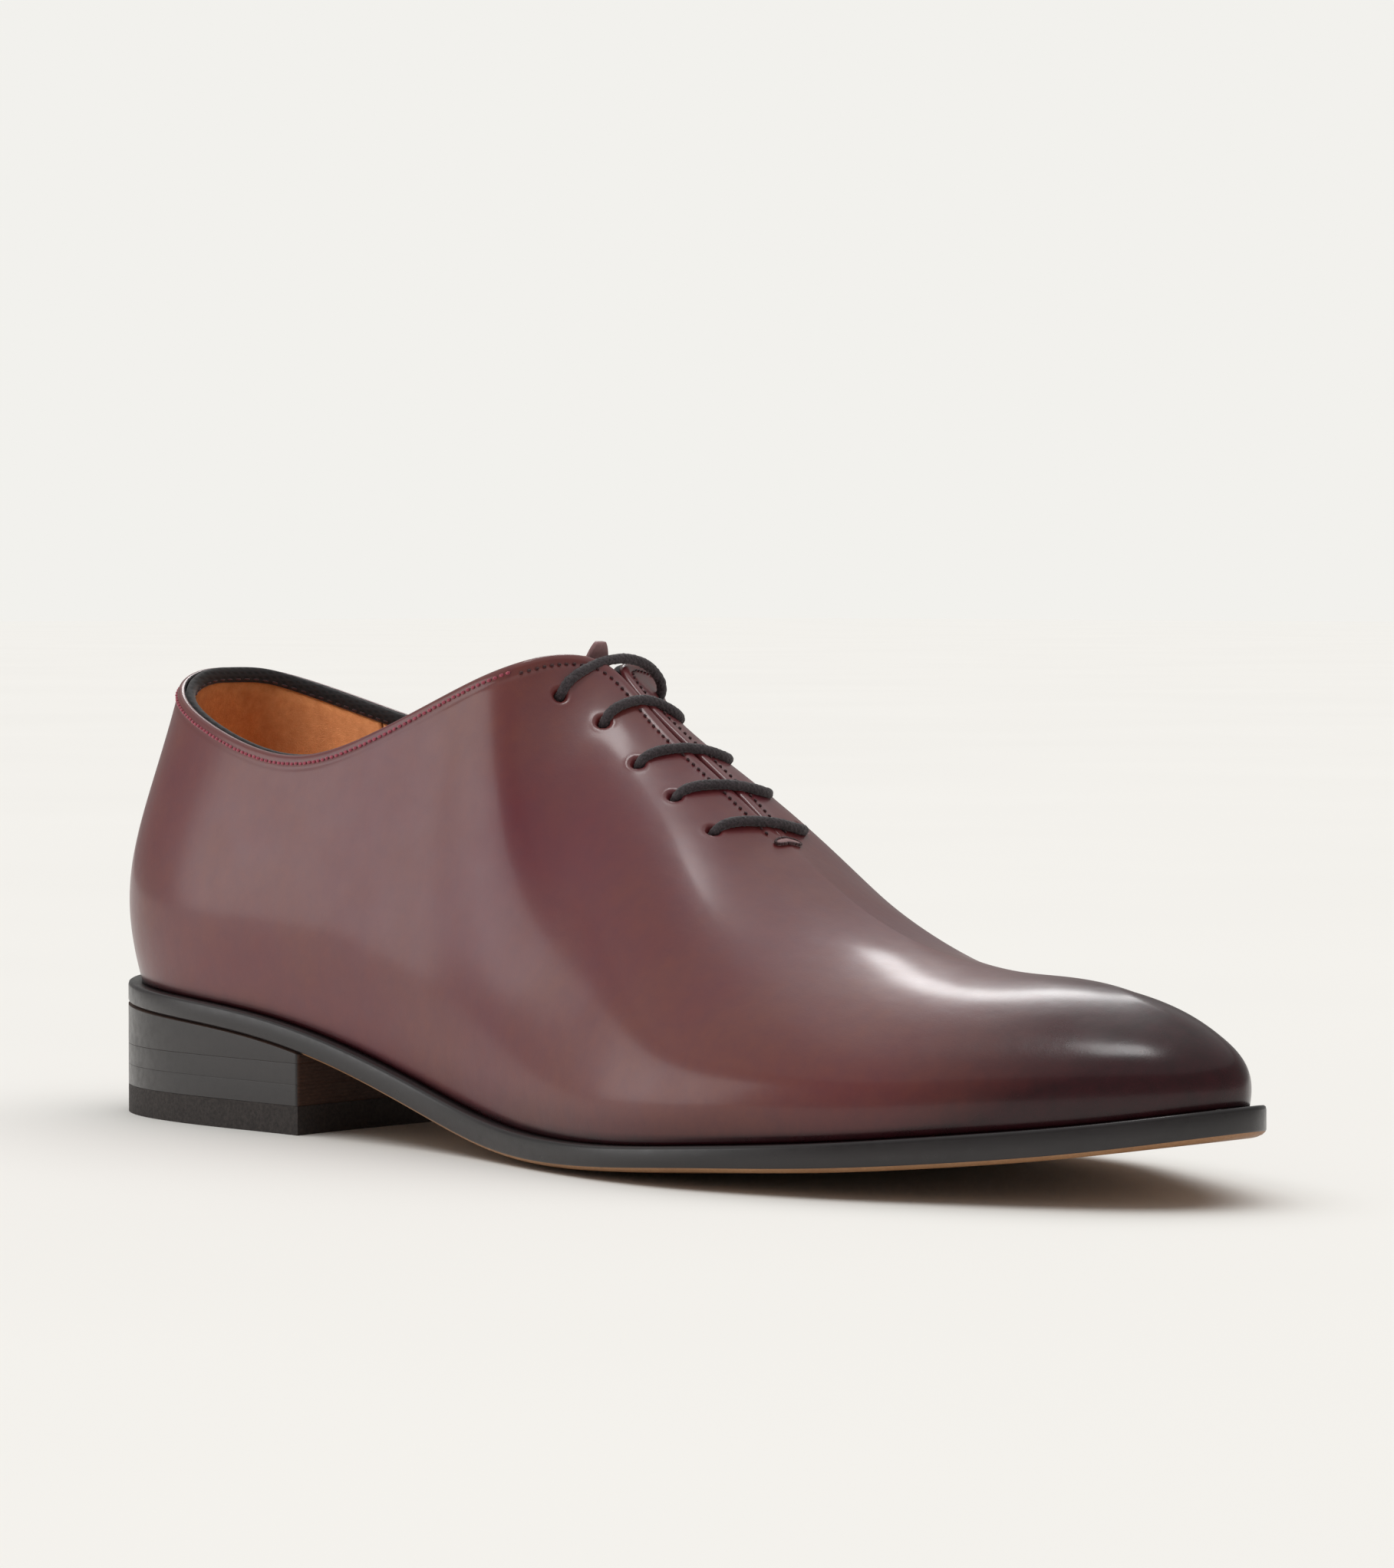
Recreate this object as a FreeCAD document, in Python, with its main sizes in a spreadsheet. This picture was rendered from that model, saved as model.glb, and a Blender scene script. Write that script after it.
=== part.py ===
import FreeCAD, Part
import math
import os
from FreeCAD import Vector

# A right-foot wholecut leather oxford, EU 42, in millimetres. +X points to the toe, +Y to the
# inner (medial) side and +Z up. The origin is on the ground under the middle of the shoe.
# The last's own coordinates, used in the tables, start at the back of the heel seat (x), on the
# spine (y) and on the ground (z); place() moves them to the shoe's frame.

DIMENSIONS = (
    ("middle_forward", 147.8, "heel seat back to the middle of the shoe"),
    ("middle_across", -1.35, "spine to the middle of the shoe"),
    ("upper_thickness", 1.4, "calf leather"),
    ("lining_thickness", 0.9, "leather and suede linings"),
    ("stiffener_thickness", 1.0, "heel counter and toe puff"),
    ("doubler_gap", 0.2, "extra room over the vamp doubler, where the vamp curves most"),
    ("doubler_thickness", 0.7, "vamp doubler between the vamp and its lining"),
    ("stay_thickness", 0.5, "facing stays"),
    ("layer_gap", 0.14, "glue line between layers"),
    ("slit_width", 0.8, "gap between the facings"),
    ("filler_space", 1.3, "between the sole and the insole"),
    ("sole_edge", 3.0, "sole beyond the feather line"),
    ("sole_thickness", 5.0, "at the edge"),
    ("sole_camber", 1.5, "belly of the forepart"),
    ("insole_inset", 4.4, "insole inside the feather line"),
    ("insole_thickness", 2.2, "leather board"),
    ("sock_thickness", 0.9, "leather sock"),
    ("pad_thickness", 1.5, "foam under the heel of the sock"),
    ("cork_share", 0.62, "cork's width as a share of the foot's"),
    ("shank_length", 92.0, "steel shank"),
    ("shank_width", 13.0, "steel shank"),
    ("shank_thickness", 1.0, "steel shank"),
    ("shank_back", 42.0, "from the heel seat back"),
    ("heel_breast", 75.4, "front face of the heel"),
    ("breast_hollow", 2.0, "curve of the heel's front face"),
    ("top_piece_height", 6.0, "rubber"),
    ("lift_height", 4.4, "each flat leather lift"),
    ("stack_gap", 0.05, "glue line in the heel"),
    ("nail_diameter", 1.6, "heel nails"),
    ("nail_head", 3.6, "head of a heel nail"),
    ("lace_diameter", 2.2, "waxed cord"),
    ("eyelet_hole", 3.6, "punched through the facing"),
    ("eyelet_rim", 5.2, "hidden ring under the facing"),
    ("eyelet_thickness", 0.2, "hidden ring"),
    ("tongue_thickness", 1.2, "outer leather of the tongue"),
    ("tongue_arch", 20.0, "radius of the tongue across"),
    ("tack_length", 6.4, "stitched bar across the slit"),
    ("tack_width", 1.9, "stitched bar"),
    ("tack_height", 1.0, "stitched bar"),
    ("aglet_length", 18.0, "lace tip"),
    ("aglet_diameter", 2.6, "lace tip"),
    ("lace_lift", 1.9, "middle of a lace bar above the facing"),
    ("lace_depth", 4.8, "middle of the lace under the facing"),
    ("prism_height", 60.0, "tall enough to pass through every flat layer"),
)

# Ribs of the last, from the back of the heel round to the toe. Each rib is a curve from the
# feather line up to the top: (feather x, half width), then its control points: wall and flank
# as (outwards, up) from the feather, shoulder as (forward, across, up) from the top point, and
# the top point (x, half width, z). From SLIT_END on, the top points are the ridge of the vamp.
LATERAL = (
    ((0, 0), (3.8, 11), (4.8, 29), (-3.5, 0, -16), (8.5, 0, 95.6)),
    ((3, 14), (3.5, 11), (4.3, 28), (-2.5, 3, -16), (11, 11, 93.6)),
    ((13, 24.5), (2.9, 11), (3.3, 27), (-1, 4, -15), (19, 18.5, 89.5)),
    ((34, 31), (2, 11), (2, 26), (0, 3.5, -14), (38, 24.5, 83)),
    ((60, 32), (2, 12), (1.8, 26), (0, 3, -14), (62, 27, 78.3)),
    ((90, 32.5), (2.2, 13), (1.5, 30), (0, 3, -16), (88, 27, 83)),
    ((115, 34.5), (2.5, 13), (0.5, 34), (0, 4, -18), (110, 24.5, 92)),
    ((138, 39), (2.5, 13), (-2, 38), (1, 7, -14), (127.5, 18.5, 98.8)),
    ((156, 43.8), (2.2, 13), (-5, 36), (3, 12, -7), (133.5, 2, 97.6)),
    ((170, 47), (2, 12), (-6.5, 33), (0, 14, -3), (147, 0.4, 86.4)),
    ((184, 49), (2.2, 11), (-6, 30), (0, 15, -1.5), (165, 0.4, 74.4)),
    ((198, 49.3), (2.6, 10), (-4.5, 26), (0, 15, -0.6), (181, 0, 63.4)),
    ((215, 47), (2.8, 9), (-3, 23), (0, 15, 0), (199, 0, 52.2)),
    ((235, 41.8), (2.6, 8), (-2.5, 19), (0, 15, 0), (218, 0, 44.4)),
    ((255, 33.5), (2.2, 7.5), (-2, 17), (0, 13, 0), (237, 0, 40.7)),
    ((273, 25), (1.8, 7), (-2, 15.5), (0, 10, 0), (251, 0, 40)),
    ((285.5, 17.4), (1.4, 6.5), (-2.2, 14), (1, 6.5, 0), (260, 0, 39.4)),
    ((293, 10), (1.2, 6.3), (-3, 13), (6, 3.4, -0.9), (264.5, 0, 38.95)),
    ((296, 0), (1, 6.2), (-3.8, 12.6), (13, 0, -2.2), (266, 0, 38.8)),
)
MEDIAL = (
    ((0, 0), (3.8, 11), (4.8, 29), (-3.5, 0, -16), (8.5, 0, 95.6)),
    ((3, 14), (3.5, 11), (4.3, 28), (-2.5, 3, -16), (11, 11, 95.3)),
    ((13, 24), (2.9, 11), (3.3, 27), (-1, 4, -15), (19, 18.5, 92.8)),
    ((34, 30), (2.4, 11), (2.4, 26), (0, 3.5, -14), (38, 24.5, 87)),
    ((60, 29.5), (3.2, 12), (3.2, 26), (0, 3, -14), (62, 27, 82.5)),
    ((90, 27), (4.5, 13), (4.5, 30), (0, 3, -16), (88, 27, 86.5)),
    ((115, 27.5), (5.5, 14), (4.5, 34), (0, 4, -18), (110, 24.5, 92.5)),
    ((138, 31), (5.5, 14), (1.5, 38), (1, 7, -14), (126.5, 17.5, 96.5)),
    ((156, 35.5), (4.5, 13), (-2.5, 36), (3, 12, -7), (133.5, 2, 96.8)),
    ((170, 39.5), (3.5, 12), (-4.5, 34), (0, 15, -3), (147, 0.4, 86.4)),
    ((184, 43), (2.8, 11), (-5, 31), (0, 16, -1.5), (165, 0.4, 74.4)),
    ((198, 45.8), (2.6, 10), (-6, 26), (0, 14, -2.2), (181, 0, 63.4)),
    ((215, 46.5), (2.6, 9), (-6.5, 22.5), (0, 13, -2.6), (199, 0, 52.2)),
    ((235, 42.5), (2.4, 8), (-6.5, 19), (0, 13, -2.2), (218, 0, 44.4)),
    ((255, 33), (2, 7.5), (-4, 17), (0, 12, -0.8), (237, 0, 40.7)),
    ((272, 23.5), (1.8, 7), (-2, 15.5), (0, 10, 0), (251, 0, 40)),
    ((284.5, 15), (1.4, 6.5), (-2.2, 14), (1, 6.5, 0), (260, 0, 39.4)),
    ((291.6, 8.3), (1.2, 6.3), (-3, 13), (6, 3.4, -0.9), (264.5, 0, 38.95)),
    ((296, 0), (1, 6.2), (-3.8, 12.6), (13, 0, -2.2), (266, 0, 38.8)),
)
HEEL_RIB = 0
COUNTER_RIB = 4
HEEL_SEAM_RIB = 3
THROAT_RIB = 8
SLIT_END_RIB = 11
PUFF_RIB = 14
TOE_RIB = 18

# Height of the feather line above the ground: heel seat, waist, joint and toe spring.
FEATHER = (
    (0, 28.7), (30, 26.8), (60, 24.2), (85, 19.8), (110, 13.7), (135, 8.4), (160, 6.5),
    (185, 7.0), (205, 8.4), (230, 10.3), (255, 12.8), (280, 15.8), (302, 19.4),
)
# How much of the sole's camber there is along the sole: none under the heel, all at the joint.
CAMBER = ((0, 0), (75, 0), (110, 0.5), (160, 1), (230, 1), (302, 0.4))

LATERAL_SIDE, MEDIAL_SIDE = -1, 1
RIB_KNOTS = (0, 0, 0, 0, 0.5, 1, 1, 1, 1)
TINY = 1e-3


def spline(knots, values, start=None, end=None):
    """Cubic spline through tuples; start and end are its end slopes, free where None."""
    last = len(knots) - 1
    width = range(len(values[0]))
    step = [b - a for a, b in zip(knots, knots[1:])]
    low = [0.0] * (last + 1)
    middle = [1.0] * (last + 1)
    high = [0.0] * (last + 1)
    right = [[0.0 for _ in width] for _ in knots]
    for i in range(1, last):
        low[i] = 1 / step[i - 1]
        high[i] = 1 / step[i]
        middle[i] = 2 * (low[i] + high[i])
        right[i] = [3 * ((values[i][k] - values[i - 1][k]) * low[i] ** 2
                         + (values[i + 1][k] - values[i][k]) * high[i] ** 2) for k in width]
    if start is None:
        high[0] = 0.5
        right[0] = [1.5 * (values[1][k] - values[0][k]) / step[0] for k in width]
    else:
        right[0] = list(start)
    if end is None:
        low[last] = 0.5
        right[last] = [1.5 * (values[last][k] - values[last - 1][k]) / step[-1] for k in width]
    else:
        right[last] = list(end)
    for i in range(1, last + 1):
        factor = low[i] / middle[i - 1]
        middle[i] -= factor * high[i - 1]
        right[i] = [a - factor * b for a, b in zip(right[i], right[i - 1])]
    slope = [None] * last + [[a / middle[last] for a in right[last]]]
    for i in range(last - 1, -1, -1):
        slope[i] = [(a - high[i] * b) / middle[i] for a, b in zip(right[i], slope[i + 1])]

    def at(t):
        t = min(max(t, knots[0]), knots[-1])
        i = 0
        while i < last - 1 and t > knots[i + 1]:
            i += 1
        s = (t - knots[i]) / step[i]
        a = (1 + 2 * s) * (1 - s) ** 2
        b = s * (1 - s) ** 2 * step[i]
        c = s * s * (3 - 2 * s)
        d = s * s * (s - 1) * step[i]
        return tuple(a * values[i][k] + b * slope[i][k]
                     + c * values[i + 1][k] + d * slope[i + 1][k] for k in width)

    at.slope = slope
    return at


def graph(points):
    """Height of a smooth curve over x."""
    curve = spline([p[0] for p in points], [(p[1],) for p in points])
    return lambda x: curve(x)[0]


feather_height = graph(FEATHER)
camber_share = graph(CAMBER)


def smooth(t):
    """0 to 1 with a soft start and end."""
    t = min(max(t, 0.0), 1.0)
    return t * t * (3 - 2 * t)


def rib_weights(v):
    """Cubic B-spline weights of the five control points of a rib."""
    v = min(max(v, 0.0), 1 - 1e-12)
    weights = [1.0 if RIB_KNOTS[i] <= v < RIB_KNOTS[i + 1] else 0.0 for i in range(8)]
    for degree in (1, 2, 3):
        raised = []
        for i in range(8 - degree):
            total = 0.0
            if RIB_KNOTS[i + degree] > RIB_KNOTS[i]:
                total += (v - RIB_KNOTS[i]) / (RIB_KNOTS[i + degree] - RIB_KNOTS[i]) * weights[i]
            if RIB_KNOTS[i + degree + 1] > RIB_KNOTS[i + 1]:
                span = RIB_KNOTS[i + degree + 1] - RIB_KNOTS[i + 1]
                total += (RIB_KNOTS[i + degree + 1] - v) / span * weights[i + 1]
            raised.append(total)
        weights = raised
    return weights


# Both sides share the rib parameter u, which follows the lateral feather line.
reach = [0.0]
for one, two in zip(LATERAL, LATERAL[1:]):
    reach.append(reach[-1] + math.dist(one[0], two[0]))
RIB_AT = [r / reach[-1] for r in reach]
SLIT_END = RIB_AT[SLIT_END_RIB]


def half_last(ribs, side):
    """Splines along u of the five control points of one side's ribs."""
    plan = spline(RIB_AT, [(r[0][0], side * r[0][1]) for r in ribs], (0, side * reach[-1]),
                  (0, -side * reach[-1]))
    rows = []
    for number, rib in enumerate(ribs):
        x, y = rib[0][0], side * rib[0][1]
        along = plan.slope[number]
        length = math.hypot(*along)
        out_x, out_y = -side * along[1] / length, side * along[0] / length
        seat = feather_height(x)
        shoulder, top = rib[3], rib[4]
        rows.append((
            (x, y, seat),
            (x + out_x * rib[1][0], y + out_y * rib[1][0], seat + rib[1][1]),
            (x + out_x * rib[2][0], y + out_y * rib[2][0], seat + rib[2][1]),
            (top[0] + shoulder[0], side * (top[1] + shoulder[1]), top[2] + shoulder[2]),
            (top[0], side * top[1], top[2]),
        ))
    curves = []
    for j in range(4):
        points = [row[j] for row in rows]
        first = side * math.dist(points[0], points[1]) / RIB_AT[1]
        final = -side * math.dist(points[-1], points[-2]) / (1 - RIB_AT[-2])
        curves.append(spline(RIB_AT, points, (0, first, 0), (0, final, 0)))
    tops = [row[4] for row in rows]
    before, after = tops[SLIT_END_RIB - 1], tops[SLIT_END_RIB + 1]
    span = RIB_AT[SLIT_END_RIB + 1] - RIB_AT[SLIT_END_RIB - 1]
    joint = ((after[0] - before[0]) / span, 0, (after[2] - before[2]) / span)
    first = side * math.dist(tops[0], tops[1]) / RIB_AT[1]
    edge = spline(RIB_AT[:SLIT_END_RIB + 1], tops[:SLIT_END_RIB + 1], (0, first, 0), joint)
    ridge = spline(RIB_AT[SLIT_END_RIB:], tops[SLIT_END_RIB:], joint)
    curves.append(lambda u: edge(u) if u < SLIT_END else ridge(u))
    return plan, curves


HALVES = {LATERAL_SIDE: half_last(LATERAL, LATERAL_SIDE), MEDIAL_SIDE: half_last(MEDIAL, MEDIAL_SIDE)}


def wall(side, u, v):
    """Point of the upper's outer face: u from heel to toe, v from the feather line to the top."""
    weights = rib_weights(v)
    points = [curve(u) for curve in HALVES[side][1]]
    return Vector(*[sum(w * p[k] for w, p in zip(weights, points)) for k in range(3)])


def outward(side, u, v):
    """Unit normal of the outer face; it lies in the middle plane where the two sides meet."""
    up = wall(side, u, min(v + TINY, 1)) - wall(side, u, max(v - TINY, 0))
    along = wall(side, min(u + TINY, 1), v) - wall(side, max(u - TINY, 0), v)
    if v > 1 - TINY and u > SLIT_END - TINY:
        back = min(max(u, SLIT_END), 1 - TINY)
        ridge = wall(side, back + TINY, 1) - wall(side, back, 1)
        normal = Vector(-ridge.z, 0, ridge.x)
    elif u > 1 - TINY:
        normal = Vector(up.z, 0, -up.x)
    elif u < TINY:
        normal = Vector(-up.z, 0, up.x)
    else:
        normal = along.cross(up) * -side
    return normal.normalize()


def skin(side, u, v, depth):
    """Point at a depth under the outer face."""
    return wall(side, u, v) - outward(side, u, v) * depth


# ---------------------------------------------------------------- building solids
def place(point):
    """From the last's coordinates to the shoe's frame."""
    return Vector(point[0] - size["middle_forward"], point[1] - size["middle_across"], point[2])


def poles_through(knots, points, start, end):
    """Poles of the cubic B-spline through points, with simple knots."""
    slope = spline(knots, points, start, end).slope
    width = range(len(points[0]))
    last = len(knots) - 1
    after = [[points[i][k] + slope[i][k] * (knots[i + 1] - knots[i]) / 3 for k in width]
             for i in range(last)]
    before = [[points[i + 1][k] - slope[i + 1][k] * (knots[i + 1] - knots[i]) / 3 for k in width]
              for i in range(last)]
    poles = [points[0], after[0]]
    for i in range(1, last):
        share = (knots[i - 1] - knots[i]) / (knots[i + 1] - knots[i])
        poles.append([after[i][k] + share * (before[i][k] - after[i][k]) for k in width])
    return poles + [before[-1], points[-1]]


def surface(point, us, vs):
    """B-spline surface through point(u, v) on a grid, with the function's slopes at its ends."""
    def end_slope(near, far, ends):
        return [(b - a) / (ends[1] - ends[0]) for a, b in zip(near, far)]

    columns = []
    for u in us:
        line = [tuple(place(point(u, v))) for v in vs]
        v_in = vs[0] + TINY
        v_out = vs[-1] - TINY
        start = end_slope(line[0], place(point(u, v_in)), (vs[0], v_in))
        end = end_slope(place(point(u, v_out)), line[-1], (v_out, vs[-1]))
        columns.append(poles_through(vs, line, start, end))
    rows = [poles_through(us, [column[j] for column in columns], None, None)
            for j in range(len(vs) + 2)]
    poles = [[Vector(*rows[j][i]) for j in range(len(rows))] for i in range(len(us) + 2)]
    mults_u = [4] + [1] * (len(us) - 2) + [4]
    mults_v = [4] + [1] * (len(vs) - 2) + [4]
    made = Part.BSplineSurface()
    made.buildFromPolesMultsKnots(poles, mults_u, mults_v, us, vs, False, False, 3, 3)
    return made


def steps(start, end, count):
    return [start + (end - start) * i / count for i in range(count)] + [end]


def patches(outer, inner, us, vs, open_ends):
    """Faces between two surfaces over one grid, without the rims named in open_ends."""
    one = surface(outer, us, vs)
    two = surface(inner, us, vs)
    faces = [one.toShape(), two.toShape()]
    rims = {
        "back": (one.uIso(us[0]), two.uIso(us[0])),
        "front": (one.uIso(us[-1]), two.uIso(us[-1])),
        "bottom": (one.vIso(vs[0]), two.vIso(vs[0])),
        "top": (one.vIso(vs[-1]), two.vIso(vs[-1])),
    }
    for name, (first, second) in rims.items():
        if name not in open_ends:
            faces.append(Part.makeRuledSurface(first.toShape(), second.toShape()))
    return faces


def sewn(faces):
    """Closed solid from faces that share their edges."""
    shell = Part.makeShell(faces)
    shell.sewShape()
    if shell.ShapeType != "Shell":
        shell = shell.Shells[0]
    made = Part.makeSolid(shell)
    if made.Volume < 0:
        made.reverse()
    return made


def between(outer, inner, us, vs):
    return sewn(patches(outer, inner, us, vs, ()))


def layer(sides, first_rib, last_rib, depths, bottom, top, trim=0.0):
    """A layer of the upper between two depths, on one side or on both, rib to rib.

    bottom and top are v, or functions of u; trim shortens the layer at its open ends.
    """
    outer_depth, inner_depth = depths
    low = bottom if callable(bottom) else lambda u: bottom
    high = top if callable(top) else lambda u: top
    faces = []
    spans = [(first_rib, min(last_rib, SLIT_END_RIB)), (max(first_rib, SLIT_END_RIB), last_rib)]
    for side in sides:
        for start, end in spans:
            if start >= end:
                continue
            joined = []
            if len(sides) == 2 and start == HEEL_RIB:
                joined.append("back")
            if len(sides) == 2 and end == TOE_RIB:
                joined.append("front")
            if start == SLIT_END_RIB and first_rib < SLIT_END_RIB:
                joined.append("back")
            if end == SLIT_END_RIB and last_rib > SLIT_END_RIB:
                joined.append("front")
            if len(sides) == 2 and start >= SLIT_END_RIB and high(1) == 1:
                joined.append("top")
            u_start = RIB_AT[start] + (0 if "back" in joined else trim)
            u_end = RIB_AT[end] - (0 if "front" in joined else trim)
            count = max(6, int((u_end - u_start) * 44))

            def at(depth):
                return lambda u, w: skin(side, u, low(u) + (high(u) - low(u)) * w, depth(u))

            faces += patches(at(outer_depth), at(inner_depth), steps(u_start, u_end, count),
                             steps(0.0, 1.0, 10), joined)
    return sewn(faces)


def fixed(depth):
    return lambda u: depth


# ---------------------------------------------------------------- flat outlines
def plan_point(side, u, inset):
    """Point of the feather line, moved inwards by inset."""
    plan = HALVES[side][0]
    x, y = plan(u)
    before, after = plan(max(u - TINY, 0)), plan(min(u + TINY, 1))
    along = Vector(after[0] - before[0], after[1] - before[1], 0).normalize()
    if u < TINY or u > 1 - TINY:
        along = Vector(0, side if u < TINY else -side, 0)
    out = Vector(-side * along.y, side * along.x, 0)
    return Vector(x, y, 0) - out * inset


def closed_outline(inset):
    """Points round the whole foot, heel to toe on the outer side and back on the inner."""
    turns = sorted(RIB_AT + [(a + b) / 2 for a, b in zip(RIB_AT, RIB_AT[1:])])
    outer = [plan_point(LATERAL_SIDE, u, inset) for u in turns]
    inner = [plan_point(MEDIAL_SIDE, u, inset) for u in turns[1:-1]]
    return outer + inner[::-1]


def reach_at(side, x, inset):
    """Parameter u at which the inset feather line passes x, between heel and joint."""
    low, high = 0.0, SLIT_END
    while high - low > 1e-9:
        middle = (low + high) / 2
        if plan_point(side, middle, inset).x < x:
            low = middle
        else:
            high = middle
    return low


def heel_outline(inset, breast):
    """Points round the heel from the outer end of the breast line to the inner end."""
    points = []
    for side in (LATERAL_SIDE, MEDIAL_SIDE):
        end = reach_at(side, breast, inset)
        turns = [0.0] + [u for u in RIB_AT[1:] if u < end - 0.02] + [end]
        run = [plan_point(side, u, inset) for u in turns]
        points.append(run)
    return points[0][::-1] + points[1][1:]


doc = FreeCAD.newDocument("oxford_shoe")
sheet = doc.addObject("Spreadsheet::Sheet", "Sizes")
for row, (alias, value, note) in enumerate(DIMENSIONS, start=1):
    sheet.set("A%d" % row, alias)
    sheet.set("B%d" % row, str(value))
    sheet.set("C%d" % row, note)
    sheet.setAlias("B%d" % row, alias)
doc.recompute()
size = {alias: float(sheet.get(alias)) for alias, value, note in DIMENSIONS}

subparts = []


def keep(item, label):
    """Make a document object one of the shoe's sub-parts."""
    item.Label = label
    subparts.append(item)
    return item


def feature(name, shape):
    """A shape of its own that no primitive or sketch can make."""
    item = doc.addObject("Part::Feature", name)
    item.Shape = shape
    return item


def bind(item, **cells):
    """Tie properties of an object to formulas over the sheet."""
    for name, formula in cells.items():
        item.setExpression(name, formula)
    return item


def boolean(kind, name, base, tool):
    item = doc.addObject("Part::" + kind, name)
    item.Base = base
    item.Tool = tool
    return item


def compound(name, links):
    item = doc.addObject("Part::Compound", name)
    item.Links = links
    return item


def outline_sketch(name, points):
    """Closed smooth outline on the ground plane."""
    sketch = doc.addObject("Sketcher::SketchObject", name)
    curve = Part.BSplineCurve()
    curve.interpolate(Points=[place(p) for p in points], PeriodicFlag=True)
    sketch.addGeometry(curve)
    return sketch


def heel_sketch(sketch, inset, breast):
    """Outline of the heel with its slightly hollow front face."""
    points = heel_outline(inset, breast)
    curve = Part.BSplineCurve()
    curve.interpolate(Points=[place(p) for p in points])
    sketch.addGeometry(curve)
    front = Vector(breast - size["breast_hollow"], 0, 0)
    sketch.addGeometry(Part.Arc(place(points[-1]), place(front), place(points[0])))
    return sketch


def prism(name, sketch):
    """A sketch raised straight up through all the flat layers."""
    item = doc.addObject("Part::Extrusion", name)
    item.Base = sketch
    item.DirMode = "Custom"
    item.Dir = Vector(0, 0, 1)
    item.Solid = True
    return bind(item, LengthFwd="Sizes.prism_height")


def sheet_solid(name, low, high, back=-8.0, front=306.0):
    """Wide solid between two heights over the plan, to be cut to an outline."""
    half = 62.0
    xs = steps(back, front, 36)
    ys = steps(-half, half, 8)
    return feature(name, between(lambda x, y: Vector(x, y, low(x, y)),
                                 lambda x, y: Vector(x, y, high(x, y)), xs, ys))


# ---------------------------------------------------------------- sole and heel
def sole_top(x, y):
    return feather_height(x) - 0.06


def sole_bottom(x, y):
    belly = size["sole_camber"] * camber_share(x) * (1 - (y / 50) ** 2)
    return feather_height(x) - size["sole_thickness"] - belly


def above(height):
    """Surface at a height over the sole."""
    return lambda x, y: feather_height(x) + height


def pad_share(x):
    return smooth((68 - x) / 16)


def make_plate(label, sketch, low, high, back=-8.0, front=306.0):
    """One flat layer: an outline cut out of a thin curved sheet."""
    block = prism(label + "_prism", sketch)
    body = sheet_solid(label + "_sheet", low, high, back, front)
    return boolean("Common", label + "_cut", block, body)


def make_nail(name, spot, foot, head_at, length):
    """A nail with a flat head at its lower end, as primitives."""
    head = doc.addObject("Part::Cylinder", name + "_head")
    bind(head, Radius="Sizes.nail_head / 2")
    head.Height = 0.8
    head.Placement.Base = place((spot[0], spot[1], head_at))
    stem = doc.addObject("Part::Cylinder", name + "_stem")
    bind(stem, Radius="Sizes.nail_diameter / 2")
    stem.Height = length
    stem.Placement.Base = place((spot[0], spot[1], foot))
    return boolean("Fuse", name, head, stem)


HEEL_NAILS = ((12, 0), (22, -18), (22, 17), (50, -23), (50, 21))
SEAT_NAILS = ((17, -9), (17, 9), (38, -19), (38, 18), (62, -12), (62, 12))
NAIL_HEAD_Z = 1.2
NAIL_TIP_Z = 13.5
SEAT_NAIL_FOOT = 12.0


def make_heel_nails():
    nails = [make_nail("heel_nail_%d" % i, spot, NAIL_HEAD_Z, NAIL_HEAD_Z,
                       NAIL_TIP_Z - NAIL_HEAD_Z) for i, spot in enumerate(HEEL_NAILS, start=1)]
    return compound("heel_nail_set", nails)


def make_seat_nails():
    """Nails driven down through the insole and the sole into the heel."""
    nails = []
    for i, spot in enumerate(SEAT_NAILS, start=1):
        top = feather_height(spot[0]) + size["filler_space"] + size["insole_thickness"] - 0.4
        nails.append(make_nail("seat_nail_%d" % i, spot, SEAT_NAIL_FOOT, top - 0.8,
                               top - SEAT_NAIL_FOOT))
    return compound("seat_nail_set", nails)


def make_lift(label, number, nails):
    """A flat lift of the heel, padded from the heel's outline."""
    body = doc.addObject("PartDesign::Body", label + "_body")
    sketch = body.newObject("Sketcher::SketchObject", label + "_outline")
    plane = [f for f in body.Origin.OriginFeatures if f.Role == "XY_Plane"][0]
    sketch.AttachmentSupport = [(plane, "")]
    sketch.MapMode = "FlatFace"
    heel_sketch(sketch, -size["sole_edge"], size["heel_breast"])
    pad = body.newObject("PartDesign::Pad", label + "_pad")
    pad.Profile = sketch
    if number == 0:
        bind(pad, Length="Sizes.top_piece_height")
        low = "0"
    else:
        bind(pad, Length="Sizes.lift_height")
        low = "Sizes.top_piece_height + Sizes.stack_gap + %d * (Sizes.lift_height + Sizes.stack_gap)"
        low = low % (number - 1)
    bind(sketch, **{"AttachmentOffset.Base.z": low})
    return keep(boolean("Cut", label + "_cut", body, nails), label)


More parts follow.
